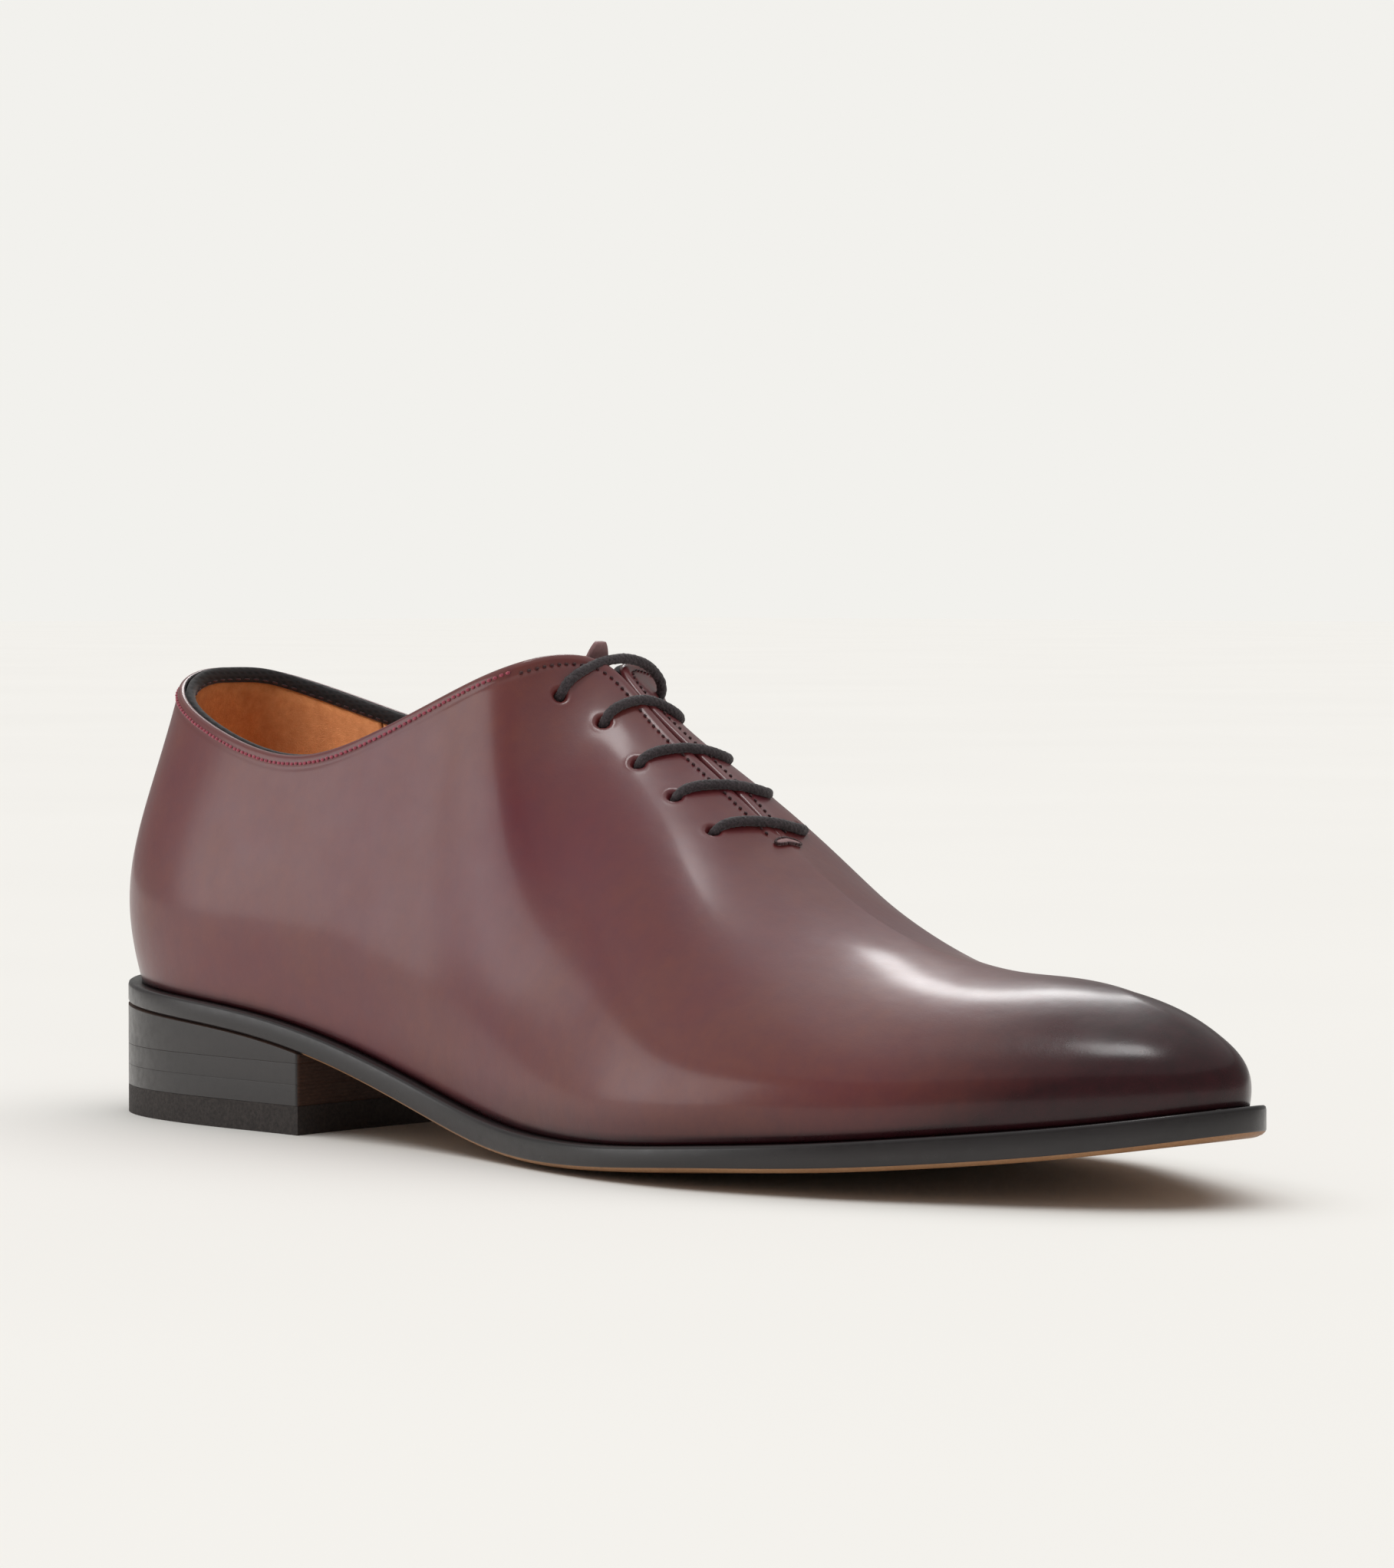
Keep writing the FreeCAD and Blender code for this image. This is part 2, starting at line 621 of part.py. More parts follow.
def make_heel():
    heel_nails = make_heel_nails()
    seat_nails = make_seat_nails()
    head_room = doc.addObject("Part::Compound", "nail_recesses")
    recesses = []
    for i, spot in enumerate(HEEL_NAILS, start=1):
        recess = doc.addObject("Part::Cylinder", "nail_recess_%d" % i)
        bind(recess, Radius="Sizes.nail_head / 2")
        recess.Height = NAIL_HEAD_Z + 1
        recess.Placement.Base = place((spot[0], spot[1], -1))
        recesses.append(recess)
    head_room.Links = recesses
    tools = compound("heel_hole_set", [heel_nails, head_room])
    make_lift("heel_top_piece", 0, tools)
    make_lift("heel_lift_1", 1, tools)
    all_nails = compound("all_nails", [heel_nails, seat_nails])
    make_lift("heel_lift_2", 2, all_nails)
    stack_top = size["top_piece_height"] + 2 * size["lift_height"] + 3 * size["stack_gap"]
    sketch = heel_sketch(doc.addObject("Sketcher::SketchObject", "wedge_outline"),
                         -size["sole_edge"], size["heel_breast"])
    wedge = make_plate("wedge", sketch, lambda x, y: stack_top,
                       lambda x, y: sole_bottom(x, y) - size["stack_gap"], front=90.0)
    keep(boolean("Cut", "wedge_drilled", wedge, seat_nails), "heel_lift_3")
    keep(heel_nails, "heel_nails")
    keep(seat_nails, "seat_nails")
    return seat_nails


def make_sole(seat_nails):
    sole = make_plate("sole", outline_sketch("sole_outline", closed_outline(-size["sole_edge"])),
                      sole_bottom, sole_top)
    keep(boolean("Cut", "sole_drilled", sole, seat_nails), "outsole")
    low = size["filler_space"] + 0.2
    high = low + size["insole_thickness"]
    board = make_plate("insole", outline_sketch("insole_outline", closed_outline(size["insole_inset"])),
                       above(low), above(high))
    keep(boolean("Cut", "insole_drilled", board, seat_nails), "insole_board")
    pad = size["pad_thickness"]
    pad_plan = heel_sketch(doc.addObject("Sketcher::SketchObject", "pad_outline"),
                           size["insole_inset"] + 4, 62.0)
    keep(make_plate("pad", pad_plan, above(high + 0.05),
                    lambda x, y: feather_height(x) + high + 0.15 + pad * pad_share(x), front=90.0),
         "heel_pad")
    sock_plan = outline_sketch("sock_outline", closed_outline(size["insole_inset"] + 0.6))
    sock_low = high + 0.2
    sock_high = sock_low + size["sock_thickness"]
    keep(make_plate("sock", sock_plan,
                    lambda x, y: feather_height(x) + sock_low + pad * pad_share(x),
                    lambda x, y: feather_height(x) + sock_high + pad * pad_share(x)),
         "sock_lining")
    share = size["cork_share"]
    narrow = [Vector(150 + (p.x - 150) * 0.86, p.y * share, 0) for p in closed_outline(0.0)]
    cork_plan = outline_sketch("cork_outline", narrow)
    shank_front = size["shank_back"] + size["shank_length"]
    keep(make_plate("cork", cork_plan, above(0.1), above(low - 0.1), back=shank_front + 3),
         "cork_filler")


def make_shank():
    """Flat steel spring along the waist, with round ends."""
    half = size["shank_width"] / 2
    back = size["shank_back"] + half
    front = size["shank_back"] + size["shank_length"] - half
    sketch = doc.addObject("Sketcher::SketchObject", "shank_outline")
    sketch.addGeometry(Part.LineSegment(place((back, -half, 0)), place((front, -half, 0))))
    sketch.addGeometry(Part.LineSegment(place((front, half, 0)), place((back, half, 0))))
    sketch.addGeometry(Part.Arc(place((front, -half, 0)), place((front + half, 0, 0)),
                                place((front, half, 0))))
    sketch.addGeometry(Part.Arc(place((back, half, 0)), place((back - half, 0, 0)),
                                place((back, -half, 0))))
    keep(make_plate("shank_strip", sketch, above(0.15), above(0.15 + size["shank_thickness"])), "shank")


# ---------------------------------------------------------------- upper
BOTH = (LATERAL_SIDE, MEDIAL_SIDE)
# Place of each lace hole on either side, top pair first: (u, v).
LACE_HOLES = ((0.5, 0.89), (0.541, 0.862), (0.575, 0.858), (0.601, 0.858), (0.628, 0.858))


def hole_tool(side, spot, radius, start, end):
    """Round tool through the facing, between two depths."""
    foot = place(skin(side, spot[0], spot[1], end))
    return Part.makeCylinder(radius, end - start, foot, outward(side, *spot))


def hole_tools(side):
    return [hole_tool(side, spot, size["eyelet_hole"] / 2, -4, 8) for spot in LACE_HOLES]


def make_upper():
    thick = size["upper_thickness"]
    blank = layer(BOTH, HEEL_RIB, TOE_RIB, (fixed(0), fixed(thick)), 0.0, 1.0)
    blank = blank.cut(hole_tools(LATERAL_SIDE) + hole_tools(MEDIAL_SIDE))
    keep(feature("upper_walls", blank), "upper_wholecut")


LINING_TOP = 0.948
BINDING_FOOT = 0.952
FACING_TOP = 0.985
LINING_FOOT = 0.035


def lining_top(u):
    """Below the binding round the topline, close to the edge of the facing."""
    return LINING_TOP + (FACING_TOP - LINING_TOP) * smooth((u - RIB_AT[THROAT_RIB]) / 0.02)


def make_linings():
    base = size["upper_thickness"] + size["stiffener_thickness"] + 2 * size["layer_gap"]
    depths = (fixed(base), fixed(base + size["lining_thickness"]))
    trim = 0.0008
    keep(feature("heel_lining_layer", layer(BOTH, HEEL_RIB, HEEL_SEAM_RIB, depths, LINING_FOOT,
                                            lining_top, trim)), "heel_lining")
    for side, name in ((LATERAL_SIDE, "lateral"), (MEDIAL_SIDE, "medial")):
        quarter = layer((side,), HEEL_SEAM_RIB, SLIT_END_RIB, depths, LINING_FOOT, lining_top, trim)
        keep(feature("quarter_layer_" + name, quarter.cut(hole_tools(side))),
             "quarter_lining_" + name)
    keep(feature("vamp_lining_layer", layer(BOTH, SLIT_END_RIB, TOE_RIB, depths, LINING_FOOT, 1.0,
                                            trim)), "vamp_lining")


def make_stiffeners():
    base = size["upper_thickness"] + size["layer_gap"]
    depths = (fixed(base), fixed(base + size["stiffener_thickness"]))
    trim = 0.0008
    keep(feature("counter_layer", layer(BOTH, HEEL_RIB, COUNTER_RIB, depths, LINING_FOOT, 0.8,
                                        trim)), "heel_counter")
    keep(feature("puff_layer", layer(BOTH, PUFF_RIB, TOE_RIB, depths, LINING_FOOT, 1.0, trim)),
         "toe_puff")
    start = base + size["doubler_gap"]
    depths = (fixed(start), fixed(start + size["doubler_thickness"]))
    keep(feature("doubler_layer", layer(BOTH, SLIT_END_RIB, PUFF_RIB, depths, LINING_FOOT, 1.0,
                                        trim)), "vamp_doubler")
    depths = (fixed(base), fixed(base + size["stay_thickness"]))
    for side, name in ((LATERAL_SIDE, "lateral"), (MEDIAL_SIDE, "medial")):
        stay = layer((side,), THROAT_RIB, SLIT_END_RIB, depths, 0.76, FACING_TOP, 0.004)
        keep(feature("stay_layer_" + name, stay.cut(hole_tools(side))), "facing_stay_" + name)


def make_eyelets():
    """Hidden metal rings between the stay and the lining, one round each lace hole."""
    top = size["upper_thickness"] + size["layer_gap"] + size["stay_thickness"] + 0.15
    for side, name in ((LATERAL_SIDE, "lateral"), (MEDIAL_SIDE, "medial")):
        rings = []
        for spot in LACE_HOLES:
            ring = hole_tool(side, spot, size["eyelet_rim"] / 2, top, top + size["eyelet_thickness"])
            rings.append(ring.cut(hole_tool(side, spot, size["eyelet_hole"] / 2, -4, 8)))
        keep(feature("eyelet_rings_" + name, Part.makeCompound(rings)), "eyelets_" + name)


def make_binding():
    """Binding tape round the inside of the topline, from facing to facing."""
    base = size["upper_thickness"] + size["layer_gap"]
    inner = size["upper_thickness"] + size["stiffener_thickness"] + size["lining_thickness"] + 0.4
    keep(feature("binding_layer", layer(BOTH, HEEL_RIB, THROAT_RIB, (fixed(base), fixed(inner)),
                                        BINDING_FOOT, 0.999, 0.002)), "topline_binding")


# ---------------------------------------------------------------- tongue
# Middle line of the tongue's outer face from its seam under the vamp up to the tip: (x, z).
TONGUE_LINE = ((185.4, 52.4), (173, 59.4), (158, 68.4), (144, 77.6), (134.4, 84.4), (129.8, 90.5),
               (128.4, 96), (129.6, 101.8))
# Half width along the same line.
TONGUE_WIDTH = (9, 12, 13, 12.4, 11.2, 8, 3.8, 2.8)


def make_tongue():
    """Arched leather tongue with a thin lining, sewn under the vamp at its foot."""
    run = [0.0]
    for one, two in zip(TONGUE_LINE, TONGUE_LINE[1:]):
        run.append(run[-1] + math.dist(one, two))
    turns = [r / run[-1] for r in run]
    line = spline(turns, TONGUE_LINE)
    width = spline(turns, [(w,) for w in TONGUE_WIDTH])
    arch = size["tongue_arch"]

    def at(depth):
        def point(s, w):
            x, z = line(s)
            before, after = line(max(s - TINY, 0)), line(min(s + TINY, 1))
            along = Vector(after[0] - before[0], 0, after[1] - before[1]).normalize()
            out = Vector(along.z, 0, -along.x)
            angle = w * width(s)[0] / arch
            radius = arch - depth
            drop = depth + radius * (1 - math.cos(angle))
            return Vector(x, radius * math.sin(angle), z) - out * drop
        return point

    thick = size["tongue_thickness"]
    grid = (steps(0.0, 1.0, 18), steps(-1.0, 1.0, 10))
    keep(feature("tongue_leather", between(at(0), at(thick), *grid)), "tongue")
    lined = (steps(0.02, 0.96, 18), steps(-0.96, 0.96, 10))
    keep(feature("tongue_backing", between(at(thick + 0.12), at(thick + 0.85), *lined)),
         "tongue_lining")


# ---------------------------------------------------------------- lace
def tube(name, points, diameter):
    """Round cord along straight runs joined by tangent arcs."""
    edges = []
    start = points[0]
    for before, corner, after in zip(points, points[1:], points[2:]):
        into = (corner - before).normalize()
        away = (after - corner).normalize()
        turn = into.getAngle(away)
        shorter = min(corner.distanceToPoint(before), corner.distanceToPoint(after))
        reach_back = 0.45 * shorter
        radius = reach_back / math.tan(turn / 2)
        print("%s arc radius %.1f" % (name, radius))
        one = corner - into * reach_back
        two = corner + away * reach_back
        bisector = (away - into).normalize()
        middle = corner + bisector * (radius / math.cos(turn / 2) - radius)
        edges.append(Part.LineSegment(start, one).toShape())
        edges.append(Part.Arc(one, middle, two).toShape())
        start = two
    edges.append(Part.LineSegment(start, points[-1]).toShape())
    path = Part.Wire(edges)
    ring = Part.Wire(Part.makeCircle(diameter / 2, points[0], points[1] - points[0]))
    solid = path.makePipeShell([ring], True, False)
    if solid.Volume < 0:
        solid.reverse()
    expected = math.pi * diameter ** 2 / 4 * path.Length
    print("%s volume %.1f of %.1f, length %.0f" % (name, solid.Volume, expected, path.Length))
    return solid


def make_lace():
    """The whole lace: five straight bars outside, upright runs between them inside."""
    lift, depth = -size["lace_lift"], size["lace_depth"]
    left, right = LATERAL_SIDE, MEDIAL_SIDE

    def at(side, number, how_deep, aside=0.0):
        u, v = LACE_HOLES[number]
        return skin(side, u, v + aside, how_deep)

    def middle(number, height):
        u = LACE_HOLES[number][0] + 0.006
        one, two = wall(left, u, 1), wall(right, u, 1)
        return (one + two) * 0.5 + outward(left, u, 0.97) * height

    slack = middle(0, 3.6)
    tail_left = [skin(left, u, v, depth + aside) for u, v, aside in
                 ((0.531, 0.76, 0.6), (0.513, 0.66, 0.6), (0.485, 0.57, 0.7),
                  (0.452, 0.49, 1.2), (0.418, 0.43, 1.2))]
    tail_right = [skin(right, u, v, depth + aside) for u, v, aside in
                  ((0.487, 0.79, 0.6), (0.468, 0.69, 0.6), (0.442, 0.60, 0.7),
                   (0.410, 0.52, 1.2), (0.380, 0.45, 1.2))]
    points = tail_left[::-1]
    points += [at(left, 1, depth), at(left, 1, lift), middle(1, 1.9), at(right, 1, lift)]
    points += [at(right, 1, depth), at(right, 2, depth, 0.034), at(right, 3, depth)]
    points += [at(right, 3, lift), middle(3, 1.9), at(left, 3, lift), at(left, 3, depth)]
    points += [at(left, 4, depth), at(left, 4, lift), middle(4, 1.9), at(right, 4, lift)]
    points += [at(right, 4, depth), at(right, 3, depth, -0.036), at(right, 2, depth)]
    points += [at(right, 2, lift), middle(2, 1.9), at(left, 2, lift), at(left, 2, depth)]
    points += [at(left, 1, depth, 0.032), at(left, 0, depth), at(left, 0, lift)]
    points += [slack, at(right, 0, -4.2, 0.03), at(right, 0, -3.6, -0.045)]
    points += [at(right, 0, depth)] + tail_right
    points = [place(p) for p in points]
    keep(feature("lace_cord", tube("lace", points, size["lace_diameter"])), "lace")
    ends = ((points[1], points[0], "aglet_lateral"), (points[-2], points[-1], "aglet_medial"))
    for before, end, label in ends:
        tip = doc.addObject("Part::Cylinder", label + "_tube")
        bind(tip, Radius="Sizes.aglet_diameter / 2", Height="Sizes.aglet_length")
        tip.Placement = FreeCAD.Placement(end, FreeCAD.Rotation(Vector(0, 0, 1), end - before))
        keep(tip, label)


def make_bar_tack():
    """Dense stitched bar that closes the slit at its lower end."""
    box = doc.addObject("Part::Box", "tack_block")
    bind(box, Length="Sizes.tack_width", Width="Sizes.tack_length", Height="Sizes.tack_height")
    u = SLIT_END + 0.0015
    up = outward(LATERAL_SIDE, u, 1)
    turn = FreeCAD.Rotation(Vector(0, 1, 0), math.degrees(math.atan2(up.x, up.z)))
    corner = Vector(-size["tack_width"] / 2, -size["tack_length"] / 2, 0.06)
    foot = place(wall(LATERAL_SIDE, u, 1))
    box.Placement = FreeCAD.Placement(foot + turn.multVec(corner), turn)
    keep(box, "bar_tack")


make_sole(make_heel())
make_shank()
make_upper()
make_stiffeners()
make_linings()
make_eyelets()
make_binding()
make_tongue()
make_lace()
make_bar_tack()

doc.recompute()
failed = [item.Label for item in doc.Objects if "Invalid" in item.State or "Error" in item.State]
if failed:
    raise RuntimeError("failed to build: %s" % failed)
os.makedirs("parts", exist_ok=True)
for item in subparts:
    shape = item.Shape
    if shape.isNull() or not shape.isValid() or not shape.Solids:
        raise RuntimeError("%s has no valid shape" % item.Label)
    shape.exportStep("parts/%s.step" % item.Label)
    box = shape.BoundBox
    print("%-24s %2d solids %10.1f mm3  x %.1f..%.1f y %.1f..%.1f z %.1f..%.1f" % (
        item.Label, len(shape.Solids), shape.Volume, box.XMin, box.XMax, box.YMin, box.YMax,
        box.ZMin, box.ZMax))
print(len(subparts), "sub-parts")
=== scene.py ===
import bpy
import bmesh
import math
import numpy as np
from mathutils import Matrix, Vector


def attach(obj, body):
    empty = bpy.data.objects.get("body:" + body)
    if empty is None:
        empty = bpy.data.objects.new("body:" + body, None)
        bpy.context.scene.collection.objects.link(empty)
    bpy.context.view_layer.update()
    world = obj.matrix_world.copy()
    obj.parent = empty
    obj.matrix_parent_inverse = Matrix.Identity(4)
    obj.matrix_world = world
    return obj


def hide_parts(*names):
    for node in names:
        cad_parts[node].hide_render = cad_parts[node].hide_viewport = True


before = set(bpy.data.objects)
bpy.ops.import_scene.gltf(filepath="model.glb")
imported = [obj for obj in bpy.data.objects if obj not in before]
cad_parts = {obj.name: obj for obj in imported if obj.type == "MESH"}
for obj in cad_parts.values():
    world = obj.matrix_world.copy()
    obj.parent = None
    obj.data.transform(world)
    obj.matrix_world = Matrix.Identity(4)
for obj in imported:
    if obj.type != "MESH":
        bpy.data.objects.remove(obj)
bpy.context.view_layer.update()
chance = np.random.default_rng(7)

# Lengths are millimetres in the last's own coordinates, as in the CAD part: x from the back of
# the heel seat, y from the spine (outer side negative), z from the ground. piece() turns them
# into the frame's metres.
MIDDLE_FORWARD = 147.8
MIDDLE_ACROSS = -1.35
LINING_DEPTH = (2.68, 3.5)
SOLE_EDGE = 3.0
SOLE_THICKNESS = 5.0
SOLE_CAMBER = 1.5
HEEL_BREAST = 75.4
BREAST_HOLLOW = 2.0
TOP_PIECE_HEIGHT = 6.0
LIFT_HEIGHT = 4.4
LACE_RADIUS = 1.06
TONGUE_ARCH = 20.0
TONGUE_THICKNESS = 1.2
OUTER, INNER = -1, 1
BOTH = (OUTER, INNER)

# Ribs of the last, heel round to toe: feather point (x, half width), wall and flank as
# (outwards, up) from it, shoulder as (forward, across, up) from the top point, top point.
OUTER_RIBS = (
    ((0, 0), (3.8, 11), (4.8, 29), (-3.5, 0, -16), (8.5, 0, 95.6)),
    ((3, 14), (3.5, 11), (4.3, 28), (-2.5, 3, -16), (11, 11, 93.6)),
    ((13, 24.5), (2.9, 11), (3.3, 27), (-1, 4, -15), (19, 18.5, 89.5)),
    ((34, 31), (2, 11), (2, 26), (0, 3.5, -14), (38, 24.5, 83)),
    ((60, 32), (2, 12), (1.8, 26), (0, 3, -14), (62, 27, 78.3)),
    ((90, 32.5), (2.2, 13), (1.5, 30), (0, 3, -16), (88, 27, 83)),
    ((115, 34.5), (2.5, 13), (0.5, 34), (0, 4, -18), (110, 24.5, 92)),
    ((138, 39), (2.5, 13), (-2, 38), (1, 7, -14), (127.5, 18.5, 98.8)),
    ((156, 43.8), (2.2, 13), (-5, 36), (3, 12, -7), (133.5, 2, 97.6)),
    ((170, 47), (2, 12), (-6.5, 33), (0, 14, -3), (147, 0.4, 86.4)),
    ((184, 49), (2.2, 11), (-6, 30), (0, 15, -1.5), (165, 0.4, 74.4)),
    ((198, 49.3), (2.6, 10), (-4.5, 26), (0, 15, -0.6), (181, 0, 63.4)),
    ((215, 47), (2.8, 9), (-3, 23), (0, 15, 0), (199, 0, 52.2)),
    ((235, 41.8), (2.6, 8), (-2.5, 19), (0, 15, 0), (218, 0, 44.4)),
    ((255, 33.5), (2.2, 7.5), (-2, 17), (0, 13, 0), (237, 0, 40.7)),
    ((273, 25), (1.8, 7), (-2, 15.5), (0, 10, 0), (251, 0, 40)),
    ((285.5, 17.4), (1.4, 6.5), (-2.2, 14), (1, 6.5, 0), (260, 0, 39.4)),
    ((293, 10), (1.2, 6.3), (-3, 13), (6, 3.4, -0.9), (264.5, 0, 38.95)),
    ((296, 0), (1, 6.2), (-3.8, 12.6), (13, 0, -2.2), (266, 0, 38.8)),
)
INNER_RIBS = (
    ((0, 0), (3.8, 11), (4.8, 29), (-3.5, 0, -16), (8.5, 0, 95.6)),
    ((3, 14), (3.5, 11), (4.3, 28), (-2.5, 3, -16), (11, 11, 95.3)),
    ((13, 24), (2.9, 11), (3.3, 27), (-1, 4, -15), (19, 18.5, 92.8)),
    ((34, 30), (2.4, 11), (2.4, 26), (0, 3.5, -14), (38, 24.5, 87)),
    ((60, 29.5), (3.2, 12), (3.2, 26), (0, 3, -14), (62, 27, 82.5)),
    ((90, 27), (4.5, 13), (4.5, 30), (0, 3, -16), (88, 27, 86.5)),
    ((115, 27.5), (5.5, 14), (4.5, 34), (0, 4, -18), (110, 24.5, 92.5)),
    ((138, 31), (5.5, 14), (1.5, 38), (1, 7, -14), (126.5, 17.5, 96.5)),
    ((156, 35.5), (4.5, 13), (-2.5, 36), (3, 12, -7), (133.5, 2, 96.8)),
    ((170, 39.5), (3.5, 12), (-4.5, 34), (0, 15, -3), (147, 0.4, 86.4)),
    ((184, 43), (2.8, 11), (-5, 31), (0, 16, -1.5), (165, 0.4, 74.4)),
    ((198, 45.8), (2.6, 10), (-6, 26), (0, 14, -2.2), (181, 0, 63.4)),
    ((215, 46.5), (2.6, 9), (-6.5, 22.5), (0, 13, -2.6), (199, 0, 52.2)),
    ((235, 42.5), (2.4, 8), (-6.5, 19), (0, 13, -2.2), (218, 0, 44.4)),
    ((255, 33), (2, 7.5), (-4, 17), (0, 12, -0.8), (237, 0, 40.7)),
    ((272, 23.5), (1.8, 7), (-2, 15.5), (0, 10, 0), (251, 0, 40)),
    ((284.5, 15), (1.4, 6.5), (-2.2, 14), (1, 6.5, 0), (260, 0, 39.4)),
    ((291.6, 8.3), (1.2, 6.3), (-3, 13), (6, 3.4, -0.9), (264.5, 0, 38.95)),
    ((296, 0), (1, 6.2), (-3.8, 12.6), (13, 0, -2.2), (266, 0, 38.8)),
)
HEEL_SEAM_RIB = 3
THROAT_RIB = 8
SLIT_END_RIB = 11

# Height of the feather line above the ground: heel seat, waist, joint and toe spring.
FEATHER = (
    (0, 28.7), (30, 26.8), (60, 24.2), (85, 19.8), (110, 13.7), (135, 8.4), (160, 6.5),
    (185, 7.0), (205, 8.4), (230, 10.3), (255, 12.8), (280, 15.8), (302, 19.4),
)
# How much of the sole's camber there is along the sole: none under the heel, all at the joint.
CAMBER = ((0, 0), (75, 0), (110, 0.5), (160, 1), (230, 1), (302, 0.4))


# ---------------------------------------------------------------- the last's surface
def spline(knots, values, start=None, end=None):
    """Cubic spline through the rows of values; start and end are its end slopes, or free."""
    knots = np.asarray(knots, float)
    values = np.asarray(values, float)
    count = len(knots)
    flat = values.reshape(count, -1)
    step = np.diff(knots)
    matrix = np.zeros((count, count))
    right = np.zeros_like(flat)
    for i in range(1, count - 1):
        matrix[i, i - 1:i + 2] = (1 / step[i - 1], 2 / step[i - 1] + 2 / step[i], 1 / step[i])
        right[i] = 3 * ((flat[i] - flat[i - 1]) / step[i - 1] ** 2
                        + (flat[i + 1] - flat[i]) / step[i] ** 2)
    for row, inner, gap, given in ((0, 1, step[0], start), (-1, -2, -step[-1], end)):
        if given is None:
            matrix[row, row] = 2 / abs(gap)
            matrix[row, inner] = 1 / abs(gap)
            right[row] = 3 * (flat[inner] - flat[row]) / (gap * abs(gap))
        else:
            matrix[row, row] = 1
            right[row] = np.ravel(given)
    slope = np.linalg.solve(matrix, right)

    def at(ts):
        ts = np.clip(np.atleast_1d(np.asarray(ts, float)), knots[0], knots[-1])
        i = np.clip(np.searchsorted(knots, ts, side="right") - 1, 0, count - 2)
        s = ((ts - knots[i]) / step[i])[:, None]
        width = step[i][:, None]
        made = ((1 + 2 * s) * (1 - s) ** 2 * flat[i] + s * (1 - s) ** 2 * width * slope[i]
                + s * s * (3 - 2 * s) * flat[i + 1] + s * s * (s - 1) * width * slope[i + 1])
        return made.reshape((len(ts),) + values.shape[1:])

    at.slope = slope.reshape(values.shape)
    return at


def graph(points):
    curve = spline([p[0] for p in points], [[p[1]] for p in points])
    return lambda x: curve(np.ravel(x))[:, 0].reshape(np.shape(x))


feather_height = graph(FEATHER)
camber_share = graph(CAMBER)


def smooth(t):
    t = np.clip(t, 0.0, 1.0)
    return t * t * (3 - 2 * t)


def rib_weights(vs):
    """Cubic B-spline weights of a rib's five control points, one row for each v."""
    knots = (0, 0, 0, 0, 0.5, 1, 1, 1, 1)
    vs = np.clip(vs, 0.0, 1 - 1e-12)
    weights = [((vs >= knots[i]) & (vs < knots[i + 1])).astype(float) for i in range(8)]
    for degree in (1, 2, 3):
        raised = []
        for i in range(8 - degree):
            total = np.zeros_like(vs)
            if knots[i + degree] > knots[i]:
                total += (vs - knots[i]) / (knots[i + degree] - knots[i]) * weights[i]
            if knots[i + degree + 1] > knots[i + 1]:
                span = knots[i + degree + 1] - knots[i + 1]
                total += (knots[i + degree + 1] - vs) / span * weights[i + 1]
            raised.append(total)
        weights = raised
    return np.stack(weights, axis=1)


reach = np.cumsum([0.0] + [math.dist(a[0], b[0]) for a, b in zip(OUTER_RIBS, OUTER_RIBS[1:])])
RIB_AT = reach / reach[-1]
SLIT_END = RIB_AT[SLIT_END_RIB]
TINY = 1e-3


def half_last(ribs, side):
    """Splines along u of one side's five rows of control points, and of its plan outline."""
    plan = spline(RIB_AT, [(r[0][0], side * r[0][1]) for r in ribs], (0, side * reach[-1]),
                  (0, -side * reach[-1]))
    rows = []
    for rib, along in zip(ribs, plan.slope):
        foot = np.array((rib[0][0], side * rib[0][1], feather_height(rib[0][0])))
        out = np.array((-side * along[1], side * along[0], 0)) / np.hypot(*along)
        shoulder, top = rib[3], rib[4]
        rows.append((foot, foot + out * rib[1][0] + (0, 0, rib[1][1]),
                     foot + out * rib[2][0] + (0, 0, rib[2][1]),
                     (top[0] + shoulder[0], side * (top[1] + shoulder[1]), top[2] + shoulder[2]),
                     (top[0], side * top[1], top[2])))
    rows = np.array(rows, float)
    first = np.zeros((5, 3))
    final = np.zeros((5, 3))
    first[:, 1] = side * np.linalg.norm(rows[1] - rows[0], axis=1) / RIB_AT[1]
    final[:, 1] = -side * np.linalg.norm(rows[-1] - rows[-2], axis=1) / (1 - RIB_AT[-2])
    body = spline(RIB_AT, rows[:, :4], first[:4], final[:4])
    tops = rows[:, 4]
    before, after = tops[SLIT_END_RIB - 1], tops[SLIT_END_RIB + 1]
    joint = (after - before) / (RIB_AT[SLIT_END_RIB + 1] - RIB_AT[SLIT_END_RIB - 1])
    joint[1] = 0
    edge = spline(RIB_AT[:SLIT_END_RIB + 1], tops[:SLIT_END_RIB + 1], first[4], joint)
    ridge = spline(RIB_AT[SLIT_END_RIB:], tops[SLIT_END_RIB:], joint)

    def columns(us):
        top = np.where((us < SLIT_END)[:, None], edge(us), ridge(us))
        return np.concatenate([body(us), top[:, None]], axis=1)

    return plan, columns


HALVES = {OUTER: half_last(OUTER_RIBS, OUTER), INNER: half_last(INNER_RIBS, INNER)}


def wall(side, us, vs):
    """Points of the upper's outer face: u from heel to toe, v from feather line to top."""
    us, vs = np.broadcast_arrays(np.asarray(us, float), np.asarray(vs, float))
    made = np.einsum("ij,ijk->ik", rib_weights(vs.ravel()), HALVES[side][1](us.ravel()))
    return made.reshape(us.shape + (3,))


def unit(vectors):
    return vectors / np.linalg.norm(vectors, axis=-1, keepdims=True)


